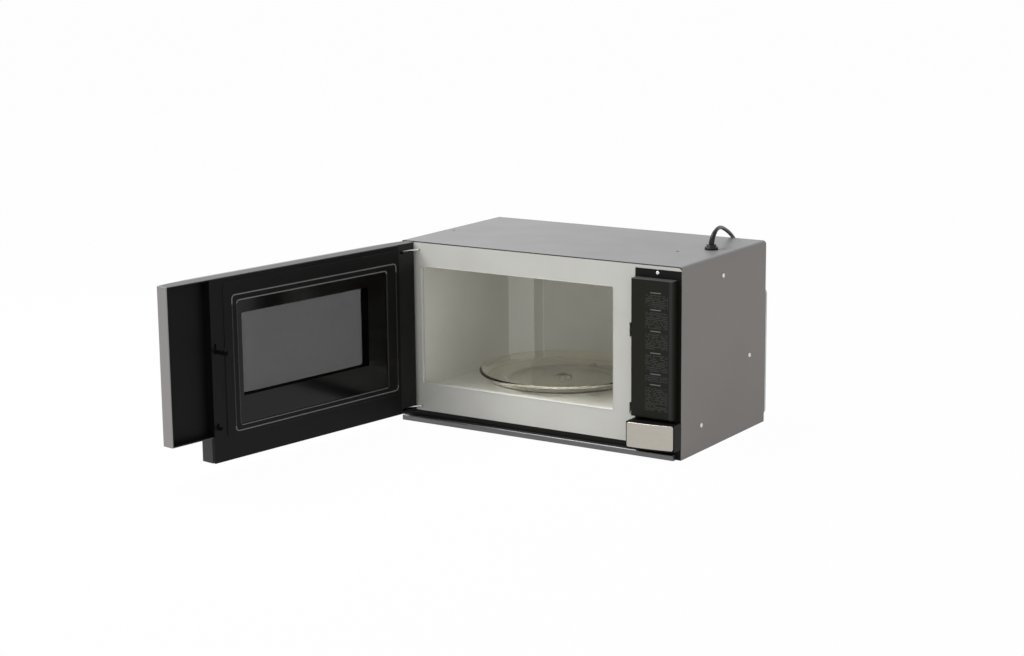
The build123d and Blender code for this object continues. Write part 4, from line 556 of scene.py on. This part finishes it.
# Left, right, bottom and top of the part of the inner window that is seen through
SEEN_THROUGH = (-0.170, 0.138, 0.133, 0.2814)
FINISH = {
    "case_paint": case_paint("case_paint"),
    "flange_paint": painted_sheet(
        "flange_paint", linear(212, 212, 206), linear(206, 205, 200), 0.5, shine=0.25
    ),
    "cavity_paint": cavity_paint("cavity_paint"),
    "rear_paint": rear_paint("rear_paint"),
    "black_paint": painted_sheet("black_paint", linear(18, 19, 15), grey(14), 0.44, shine=0.15),
    "zinc": plated("zinc", grey(238), 0.34),
    "galvanised": plated("galvanised", grey(186), 0.36, spots=70),
    "stainless": brushed_steel(
        "stainless", linear(184, 179, 170), linear(176, 170, 161), FINE_X, 0.4, 0.000004
    ),
    # Painted shade: the bottom trim's stainless is painted darker than the button's, for the shade it lies
    # in
    "trim_steel": brushed_steel("trim_steel", grey(112), grey(98), ALONG_X, 0.42, 0.000004),
    "door_steel": door_steel("door_steel"),
    "cap_paint": cap_paint("cap_paint"),
    "black_plastic": moulded("black_plastic", grey(17), 0.46, shine=0.12),
    # Painted shade: recess_plastic is the black plastic painted darker, for the door's recess and the
    # button's bezel
    "recess_plastic": moulded("recess_plastic", grey(13), 0.5, shine=0.12),
    "black_gloss": moulded("black_gloss", grey(14), 0.12, texture=0.000004, gloss=0.4),
    "ridge_gloss": ridge_gloss("ridge_gloss"),
    "door_glass": sheet_glass("door_glass", grey(222), 0.12),
    "inner_glass": sheet_glass("inner_glass", grey(248), 0.05, rough=0.1, printed=SEEN_THROUGH),
    "screen": pierced_screen("screen", 0.0022, 0.00082),
    "tray_glass": tray_glass("tray_glass"),
    "lamp_glass": sheet_glass("lamp_glass", grey(235), 0.25),
    "copper": wound_copper("copper"),
    "laminations": brushed_steel("laminations", grey(96), grey(60), (20, 20, 1800), 0.5),
    "magnetron_steel": plated("magnetron_steel", grey(198), 0.3),
    "can": brushed_steel("can", grey(215), grey(186), (500, 500, 40), 0.3),
    "board": moulded("board", linear(52, 96, 58), 0.5, texture=0.00004, scale=900),
    "white_plastic": moulded("white_plastic", linear(226, 224, 216), 0.36),
    "mica": moulded("mica", linear(196, 188, 168), 0.5, texture=0.0001, scale=240),
    "spring_steel": brushed_steel("spring_steel", grey(196), grey(150), (900, 900, 900), 0.28),
    "cord_black": lead_rubber("cord_black"),
    "plug_rubber": plug_rubber("plug_rubber"),
    "menu_card": printed_card("menu_card", linear(27, 28, 22), grey(150)),
    "key_ink": painted_sheet("key_ink", grey(196), grey(186), 0.5),
}
# Nodes whose finish isn't named after their slot
LOOK = {"inner_window": "inner_glass", "door_window": "door_glass", "plug": "plug_rubber"}
for node, thing in nodes.items():
    thing.data.materials.clear()
    thing.data.materials.append(FINISH[LOOK.get(node, slots[node])])


def placed(name, data):
    """A new object in the scene."""
    thing = bpy.data.objects.new(name, data)
    bpy.context.scene.collection.objects.link(thing)
    return thing


def mesh_of(thing):
    """The mesh that an object shows."""
    bpy.context.view_layer.update()
    return bpy.data.meshes.new_from_object(thing)


def piece(name, mesh, finish, body, stands_for=(), angle=32):
    """Puts a finished mesh in the scene, on its body, with its finish."""
    mesh.name = name
    mesh.materials.clear()
    mesh.materials.append(FINISH[finish])
    mesh.shade_smooth()
    mesh.set_sharp_from_angle(angle=math.radians(angle))
    thing = placed(name, mesh)
    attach(thing, body)
    if stands_for:
        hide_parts(*stands_for)
    return thing


def keep(shape):
    """A bmesh as a mesh, as it stands."""
    mesh = bpy.data.meshes.new("shape")
    shape.to_mesh(mesh)
    shape.free()
    return mesh


def from_bmesh(shape, turn=None):
    """The mesh of a bmesh, with its doubles merged and its faces outwards."""
    bmesh.ops.remove_doubles(shape, verts=shape.verts, dist=0.000001)
    bmesh.ops.recalc_face_normals(shape, faces=shape.faces)
    if turn:
        bmesh.ops.transform(shape, matrix=turn, verts=shape.verts)
    return keep(shape)


def merged(target, mesh, place=(0, 0, 0)):
    """Adds a mesh to a bmesh at a place."""
    before = set(target.verts)
    target.from_mesh(mesh)
    fresh = [vertex for vertex in target.verts if vertex not in before]
    bmesh.ops.translate(target, vec=place, verts=fresh)
    bpy.data.meshes.remove(mesh)


def raised(shape, faces, high):
    """Pulls faces along Z, with walls behind them."""
    pulled = bmesh.ops.extrude_face_region(shape, geom=faces)
    tops = [item for item in pulled["geom"] if isinstance(item, bmesh.types.BMVert)]
    bmesh.ops.translate(shape, vec=(0, 0, high), verts=tops)


def softened(shape, geom, offset, segments, affect="EDGES"):
    """Rounds edges or corners."""
    bmesh.ops.bevel(
        shape,
        geom=geom,
        offset=offset,
        segments=segments,
        profile=0.5,
        affect=affect,
        material=-1,
    )


def dressed(node, finish=None, edge=0.0004):
    """A merged copy of a CAD node with its edges broken, standing for the node."""
    mesh = nodes[node].data.copy()
    shape = bmesh.new()
    shape.from_mesh(mesh)
    bmesh.ops.remove_doubles(shape, verts=shape.verts, dist=0.000005)
    bmesh.ops.dissolve_limit(shape, angle_limit=math.radians(0.4), verts=shape.verts, edges=shape.edges)
    shape.to_mesh(mesh)
    shape.free()
    if "custom_normal" in mesh.attributes:
        mesh.attributes.remove(mesh.attributes["custom_normal"])
    body = nodes[node]["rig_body"]
    thing = piece(f"{node}_dressed", mesh, finish or slots[node], body, [node])
    if edge:
        soft = thing.modifiers.new("broken_edges", "BEVEL")
        soft.width = edge
        soft.segments = 2
        soft.limit_method = "ANGLE"
        soft.angle_limit = math.radians(40)
        soft.harden_normals = True
        soft.use_clamp_overlap = True


for node, edge in (
    ("outer_case", 0.0003),
    ("front_flange", 0.0003),
    ("oven_cavity", 0.0),
    ("front_plate", 0.0004),
    ("sill", 0.0004),
    ("hinge_plates", 0.0003),
    ("button_carrier", 0.0004),
    ("choke_cover", 0.0006),
    ("door_frame", 0.0004),
    ("latch_hooks", 0.0004),
    ("waveguide_cover", 0.0003),
):
    dressed(node, edge=edge)
dressed("rear_panel", "rear_paint", 0.0003)
dressed("button_bezel", "recess_plastic")
dressed("button_cap", "stainless", 0.0)
dressed("bottom_trim", "trim_steel", 0.0003)
dressed("menu_panel", "menu_card", 0.0)
dressed("recess_cover", "recess_plastic", 0.0005)
dressed("door_skin", "door_steel", 0.0003)
dressed("door_end_caps", "cap_paint", 0.0004)
dressed("control_fascia", "black_gloss", 0.0003)
dressed("door_window", LOOK["door_window"], 0.0003)
dressed("inner_window", LOOK["inner_window"], 0.0002)
dressed("window_screen", "screen", 0.0)


def rounded_face(limits, corner):
    """One rounded rectangle (left, right, bottom, top) on XY."""
    left, right, bottom, top = limits
    shape = bmesh.new()
    bmesh.ops.create_grid(shape, x_segments=1, y_segments=1, size=0.5)
    bmesh.ops.scale(shape, vec=(right - left, top - bottom, 1), verts=shape.verts)
    bmesh.ops.translate(shape, vec=((left + right) / 2, (bottom + top) / 2, 0), verts=shape.verts)
    softened(shape, shape.verts[:], corner, 8, affect="VERTICES")
    return shape


def rounded_outline(limits, corner, width, high):
    """A flat ring on XY that follows a rounded rectangle, made high."""
    shape = rounded_face(limits, corner)
    inner = bmesh.ops.inset_region(
        shape,
        faces=shape.faces[:],
        thickness=width,
        use_boundary=True,
        use_even_offset=True,
    )
    ring = set(inner["faces"])
    bmesh.ops.delete(shape, geom=[face for face in shape.faces if face not in ring], context="FACES")
    raised(shape, shape.faces[:], high)
    return shape


# The flange's edge turns in round the oven's opening, in a soft curve
OPENING, OPENING_CORNER = (-0.2585, 0.1635, 0.0750, 0.3035), 0.004
LIP_IN, LIP_BACK, LIP_STEPS = 0.0020, 0.0064, 8
LIP_SHEET, LIP_PROUD = 0.0006, 0.0001
lip = rounded_face(OPENING, OPENING_CORNER)
inside = lip.faces[:]
for step in range(LIP_STEPS):
    before, after = [math.radians(90 * at / LIP_STEPS) for at in (step, step + 1)]
    bmesh.ops.inset_region(
        lip,
        faces=inside,
        thickness=LIP_IN * (math.sin(after) - math.sin(before)),
        depth=LIP_BACK * (math.cos(before) - math.cos(after)),
        use_boundary=True,
        use_even_offset=True,
    )
bmesh.ops.delete(lip, geom=inside, context="FACES")
place = Matrix.Translation((0, FRONT - LIP_PROUD, 0)) @ TO_REAR
turned_in = piece("opening_lip", from_bmesh(lip, place), "flange_paint", "cabinet")
thick = turned_in.modifiers.new("sheet", "SOLIDIFY")
thick.thickness = LIP_SHEET
thick.offset = 0

# Two fine ridges round the window on the door's inner side
INNER_FACE = FRONT - 0.0026
RIDGE_WIDE, RIDGE_HIGH, RIDGE_EDGE = 0.0020, 0.0022, 0.0004
for name, limits, corner in (
    ("outer_ridge", (-0.244, 0.161, 0.072, 0.317), 0.008),
    ("inner_ridge", (-0.2197, 0.1503, 0.0813, 0.3067), 0.0065),
):
    shape = rounded_outline(limits, corner, RIDGE_WIDE, RIDGE_HIGH)
    crests = [edge for edge in shape.edges if all(vertex.co.z > RIDGE_HIGH / 2 for vertex in edge.verts)]
    crests = [edge for edge in crests if edge.calc_face_angle(0) > 0.7]
    softened(shape, crests, RIDGE_EDGE, 3)
    stand = SWING @ Matrix.Translation((0, INNER_FACE, 0)) @ TO_REAR
    piece(name, from_bmesh(shape, stand), "ridge_gloss", "door")


def bowed(across, proud=0.0):
    """Depth of the door's bowed front, with a piece standing proud of it."""
    past = max(FLAT_LEFT - across, across - FLAT_RIGHT, 0)
    return DOOR_FRONT + BOW_R - math.sqrt((BOW_R + proud) ** 2 - past**2)


def on_bow(shape):
    """Lays a shape drawn on XY over the door's front, its Z standing out of it, and swings it open."""
    for vertex in shape.verts:
        across, up, proud = vertex.co
        vertex.co = SWING @ Vector((across, bowed(across, proud), up))
    bmesh.ops.recalc_face_normals(shape, faces=shape.faces)
    return keep(shape)


# Thickness of the ink
INK = 0.00012


def figure(text, size):
    """The mesh of a number, centred on XY."""
    letters = bpy.data.curves.new("figure", "FONT")
    letters.body = text
    letters.size = size
    letters.align_x = "CENTER"
    letters.align_y = "CENTER"
    letters.extrude = INK / 2
    thing = placed("figure", letters)
    mesh = mesh_of(thing)
    bpy.data.objects.remove(thing)
    return mesh


# Keys printed on the glass key panel: a display frame, blank function keys, and a number pad
KEY_WIDE, KEY_HIGH, KEY_CORNER, KEY_LINE = 0.0172, 0.0118, 0.0022, 0.0004
KEY_COLUMNS = (0.2335, 0.2530, 0.2725)
KEY_ROWS = [0.2810 - 0.0160 * row for row in range(11)]
FIGURE_SIZE, FIRST_FIGURE_ROW = 0.0092, 4
FIGURES = ("1", "2", "3", "4", "5", "6", "7", "8", "9", None, "0", None)
PLAIN_MARK = (0.0070, 0.0008)
DISPLAY, DISPLAY_CORNER = (0.2232, 0.2828, 0.2960, 0.3280), 0.003
key_print = bmesh.new()
merged(key_print, keep(rounded_outline(DISPLAY, DISPLAY_CORNER, KEY_LINE, INK)))
for row, up in enumerate(KEY_ROWS):
    for column, across in enumerate(KEY_COLUMNS):
        limits = (across - KEY_WIDE / 2, across + KEY_WIDE / 2, up - KEY_HIGH / 2, up + KEY_HIGH / 2)
        merged(key_print, keep(rounded_outline(limits, KEY_CORNER, KEY_LINE, INK)))
        number = (row - FIRST_FIGURE_ROW) * len(KEY_COLUMNS) + column
        text = FIGURES[number] if 0 <= number < len(FIGURES) else None
        if text:
            merged(key_print, figure(text, FIGURE_SIZE), (across, up, INK / 2))
        else:
            mark = bmesh.new()
            bmesh.ops.create_cube(mark, size=1)
            bmesh.ops.scale(mark, vec=(*PLAIN_MARK, INK), verts=mark.verts)
            merged(key_print, keep(mark), (across, up, INK / 2))
piece("key_print", on_bow(key_print), "key_ink", "door")


def screw_head(place, outward, radius, high=0.0022):
    """A pan head with a cross recess, standing on a plate. Its outward axis is turned from Z."""
    shape = bmesh.new()
    bmesh.ops.create_circle(shape, cap_ends=True, segments=32, radius=radius)
    raised(shape, shape.faces[:], high)
    rim = [edge for edge in shape.edges if all(vertex.co.z > high / 2 for vertex in edge.verts)]
    softened(shape, rim, 0.38 * radius, 5)
    half, reach = 0.11 * radius, 0.52 * radius
    for normal in ((1, 0, 0), (0, 1, 0)):
        for offset in (-reach, -half, half, reach):
            bmesh.ops.bisect_plane(
                shape,
                geom=shape.verts[:] + shape.edges[:] + shape.faces[:],
                plane_co=[offset * part for part in normal],
                plane_no=normal,
            )

    def recessed(face):
        """Whether a face lies on the cross."""
        x, y, z = face.calc_center_median()
        arm = (abs(x) < half and abs(y) < reach) or (abs(y) < half and abs(x) < reach)
        return arm and z > 0.98 * high

    cross = [face for face in shape.faces if recessed(face)]
    raised(shape, cross, -0.6 * high)
    bmesh.ops.delete(shape, geom=cross, context="FACES_ONLY")
    turn = Vector((0, 0, 1)).rotation_difference(Vector(outward)).to_matrix().to_4x4()
    return from_bmesh(shape, Matrix.Translation(place) @ turn)


# Depth and height of the case's screws on each side, and the place of the front plate's screw
SCREW_PLACES = ((-0.0097, 0.3110), (0.1000, 0.1426), (-0.0910, 0.0490))
PLATE_SCREW = (0.2544, FRONT, 0.336)
SCREW_R, PLATE_SCREW_R = 0.0040, 0.0034
heads = bmesh.new()
for side in (1, -1):
    for depth, up in SCREW_PLACES:
        merged(heads, screw_head((side * SIDE, depth, up), (side, 0, 0), SCREW_R))
merged(heads, screw_head(PLATE_SCREW, (0, -1, 0), PLATE_SCREW_R))
piece("screw_heads", keep(heads), "zinc", "cabinet", ["case_screws"], angle=40)

# Mains lead: one line from the bush over the rear edge, down to the floor, and round the coil
LEAD_R = 0.0036
LEAD_ROUTE = (
    (0.2600, 0.0260, 0.3600),
    (0.2605, 0.0270, 0.3690),
    (0.2610, 0.0348, 0.3792),
    (0.2583, 0.0495, 0.3838),
    (0.2520, 0.0710, 0.3838),
    (0.2425, 0.1000, 0.3796),
    (0.2345, 0.1310, 0.3708),
    (0.2290, 0.1600, 0.3596),
    (0.2262, 0.1840, 0.3452),
    (0.2265, 0.1990, 0.3250),
    (0.2280, 0.2040, 0.2940),
    (0.2315, 0.2010, 0.2400),
    (0.2340, 0.2000, 0.1700),
    (0.2320, 0.2010, 0.1000),
    (0.2260, 0.2020, 0.0380),
    (0.2040, 0.2035, 0.0070),
    (0.1512, 0.2010, 0.0036),
    (0.1072, 0.2010, 0.0036),
)
COIL = Vector((0.100, 0.245, 0))
COIL_R, COIL_PITCH, COIL_RISE = 0.044, 0.0092, 0.0078
# The coil winds inwards up to the climb, and then lies on itself and winds outwards
HALF_TURNS, CLIMB, POINTS_A_HALF = 5, 2, 8
coil_ends = []
for step in range(HALF_TURNS + 1):
    inward = step if step <= CLIMB else HALF_TURNS - step
    radius = COIL_R - inward * COIL_PITCH / 2
    high = LEAD_R + (COIL_RISE if step > CLIMB else 0)
    coil_ends.append(COIL + Vector((0, radius if step % 2 else -radius, high)))
coil_route = []
grow = 1 / math.cos(math.pi / 2 / POINTS_A_HALF) ** 2
for step, (start, end) in enumerate(zip(coil_ends, coil_ends[1:])):
    middle = (start + end) / 2
    spoke = start - middle
    side = Vector((1 if step % 2 else -1, 0, 0)) * Vector(spoke.xy).length
    for part in range(POINTS_A_HALF):
        angle = math.pi * (part + 0.5) / POINTS_A_HALF
        flat = spoke * math.cos(angle) + side * math.sin(angle)
        coil_route.append(middle + Vector((flat.x * grow, flat.y * grow, flat.z)))
lead_route = [Vector(point) for point in LEAD_ROUTE] + coil_route
lead_route += [coil_ends[-1], coil_ends[-1] + Vector((2 * LEAD_R, 0, 0))]


def lead_curve(name, points, radii, kind="NURBS"):
    """A round lead along points, each with its radius. A NURBS one has them as its control points."""
    line = bpy.data.curves.new(name, "CURVE")
    line.dimensions = "3D"
    line.bevel_depth = 1
    line.bevel_resolution = 5
    line.use_fill_caps = True
    line.resolution_u = 6
    spline = line.splines.new(kind)
    spline.points.add(len(points) - 1)
    for control, point, radius in zip(spline.points, points, radii):
        control.co = (*point, 1)
        control.radius = radius
    if kind == "NURBS":
        spline.use_endpoint_u = True
        spline.order_u = 3
    return placed(name, line)


lead = lead_curve("mains_lead", lead_route, [LEAD_R] * len(lead_route))
lead.data.materials.append(FINISH["cord_black"])
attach(lead, "cabinet")
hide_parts("power_cord", "cord_coil")


def centreline(thing):
    """The points along a curve's own line, with its thickness off."""
    depth = thing.data.bevel_depth
    thing.data.bevel_depth = 0
    mesh = mesh_of(thing)
    thing.data.bevel_depth = depth
    points = [vertex.co.copy() for vertex in mesh.vertices]
    bpy.data.meshes.remove(mesh)
    return points


def turned(profile, steps=48, turn=None):
    """A round shape from (radius, height) pairs, turned about Z and then moved."""
    shape = bmesh.new()
    line = [shape.verts.new((radius, 0, height)) for radius, height in profile]
    edges = [shape.edges.new(pair) for pair in zip(line, line[1:])]
    bmesh.ops.spin(
        shape,
        geom=line + edges,
        cent=(0, 0, 0),
        axis=(0, 0, 1),
        dvec=(0, 0, 0),
        angle=2 * math.pi,
        steps=steps,
        use_merge=True,
        use_duplicate=False,
    )
    return from_bmesh(shape, turn)


# Glass tray: a flat floor, a shallow ramp and a rounded rim, with lugs under its middle
TRAY = Vector((-0.0475, 0.006, 0))
LUGS, LUG_RING, LUG_HIGH = 3, 0.013, 0.0773
LUG_FOOT_R, LUG_TOP_R, LUG_LENGTH = 0.0026, 0.0030, 0.0040
TRAY_PROFILE = (
    (0.0, 0.0793),
    (0.1478, 0.0793),
    (0.1492, 0.0798),
    (0.1588, 0.0908),
    (0.1606, 0.0912),
    (0.1618, 0.0924),
    (0.1620, 0.0944),
    (0.1613, 0.0956),
    (0.1600, 0.0960),
    (0.1574, 0.0960),
    (0.1560, 0.0954),
    (0.1466, 0.0852),
    (0.1444, 0.0844),
    (0.0, 0.0843),
)
tray = bmesh.new()
tray.from_mesh(turned(TRAY_PROFILE, 96, Matrix.Translation(TRAY)))
for index in range(LUGS):
    angle = math.radians(34 + 360 / LUGS * index)
    lug = TRAY + Vector((LUG_RING * math.cos(angle), LUG_RING * math.sin(angle), LUG_HIGH))
    bmesh.ops.create_cone(
        tray,
        cap_ends=True,
        segments=20,
        radius1=LUG_FOOT_R,
        radius2=LUG_TOP_R,
        depth=LUG_LENGTH,
        matrix=Matrix.Translation(lug),
    )
piece("turntable_tray", keep(tray), "tray_glass", "turntable", ["glass_tray"], angle=50)

# Bush in the top sheet, and the tapered relief round the lead's first stretch
BUSH = Vector((0.260, 0.026, TOP))
BUSH_PROFILE = (
    (0.0, -0.009),
    (0.0088, -0.009),
    (0.0092, -0.0084),
    (0.0092, -0.004),
    (0.0114, -0.004),
    (0.0114, -0.0011),
    (0.0092, -0.0010),
    (0.0092, 0.0),
    (0.0121, 0.0),
    (0.0125, 0.0005),
    (0.0125, 0.0040),
    (0.0120, 0.0047),
    (0.0098, 0.0049),
    (0.0094, 0.0054),
    (0.0091, 0.0088),
    (0.0084, 0.0094),
    (0.0060, 0.0096),
    (0.0, 0.0099),
)
piece(
    "lead_bush",
    turned(BUSH_PROFILE, turn=Matrix.Translation(BUSH)),
    "cord_black",
    "cabinet",
    ["cord_bushing"],
    angle=50,
)
RELIEF_LENGTH = 0.030
RELIEF_FOOT, RELIEF_TIP = 1.45 * LEAD_R, 1.1 * LEAD_R
line_points = centreline(lead)
relief_points = []
run = 0.0
for before, point in zip(line_points, line_points[1:]):
    if run > RELIEF_LENGTH:
        break
    relief_points.append(before)
    run += (point - before).length
last = len(relief_points) - 1
relief_radii = [RELIEF_FOOT + (RELIEF_TIP - RELIEF_FOOT) * at / last for at in range(last + 1)]
relief_curve = lead_curve("relief_line", relief_points, relief_radii, "POLY")
relief_mesh = mesh_of(relief_curve)
bpy.data.objects.remove(relief_curve)
relief = piece("lead_relief", relief_mesh, "cord_black", "cabinet")

# Studio: a pale floor and sky that look white, a soft light above on the left and a faint one in front
FLOOR_WHITE = 0.98
SKY_LIGHT, SKY_WHITE = 0.40, 1.0
floor_shape = bmesh.new()
bmesh.ops.create_grid(floor_shape, x_segments=1, y_segments=1, size=40)
floor_mesh = from_bmesh(floor_shape)
placed("studio_floor", floor_mesh)
studio = Paint("studio_floor")
white = studio.node("Emission", {"Color": grey(255), "Strength": 1.0})
matt = studio.node("BsdfDiffuse", {"Color": grey(214)})
covered = studio.looked_at() * FLOOR_WHITE
floor_mesh.materials.append(studio.done(studio.node("MixShader", {0: covered, 1: matt, 2: white})))

world = bpy.data.worlds.new("studio")
bpy.context.scene.world = world
world.use_nodes = True
sky = Nodes(world.node_tree)
dim = sky.node("Background", {"Color": grey(255), "Strength": SKY_LIGHT})
bright = sky.node("Background", {"Color": grey(255), "Strength": SKY_WHITE})
sky.node("OutputWorld", {"Surface": sky.node("MixShader", {0: sky.looked_at(), 1: dim, 2: bright})})


def soft_light(name, place, target, width, height, power):
    """A rectangular lamp facing a target."""
    lamp = bpy.data.lights.new(name, "AREA")
    lamp.shape = "RECTANGLE"
    lamp.size = width
    lamp.size_y = height
    lamp.energy = power
    thing = placed(name, lamp)
    thing.location = place
    thing.rotation_euler = (Vector(target) - Vector(place)).to_track_quat("-Z", "Y").to_euler()


soft_light("key_left", (-1.2, -0.7, 2.3), (0, 0, 0.25), 1.5, 1.5, 78)
soft_light("front", (1.5, -3.0, 1.3), (0, 0, 0.2), 3.0, 2.0, 9)

# Camera at the photograph's place
EYE = (2.01795, -3.35956, 0.99611)
YAW, PITCH, ROLL = math.radians(32.94), math.radians(11.43), math.radians(-0.55)
LENS, SENSOR, SHIFT = 73.75, 36, (-0.0008, -0.0114)
ahead = Vector((-math.sin(YAW) * math.cos(PITCH), math.cos(YAW) * math.cos(PITCH), -math.sin(PITCH)))
right = Vector((math.cos(YAW), math.sin(YAW), 0))
upward = right.cross(ahead)
tilted = right * math.cos(ROLL) + upward * math.sin(ROLL)
overhead = upward * math.cos(ROLL) - right * math.sin(ROLL)
eye = bpy.data.cameras.new("camera")
eye.lens = LENS
eye.sensor_width = SENSOR
eye.shift_x, eye.shift_y = SHIFT
eye.clip_end = 100
camera = placed("camera", eye)
turn = Matrix((tilted, overhead, -ahead)).transposed().to_4x4()
camera.matrix_world = Matrix.Translation(EYE) @ turn
bpy.context.scene.camera = camera
bpy.context.scene.view_settings.view_transform = "Standard"
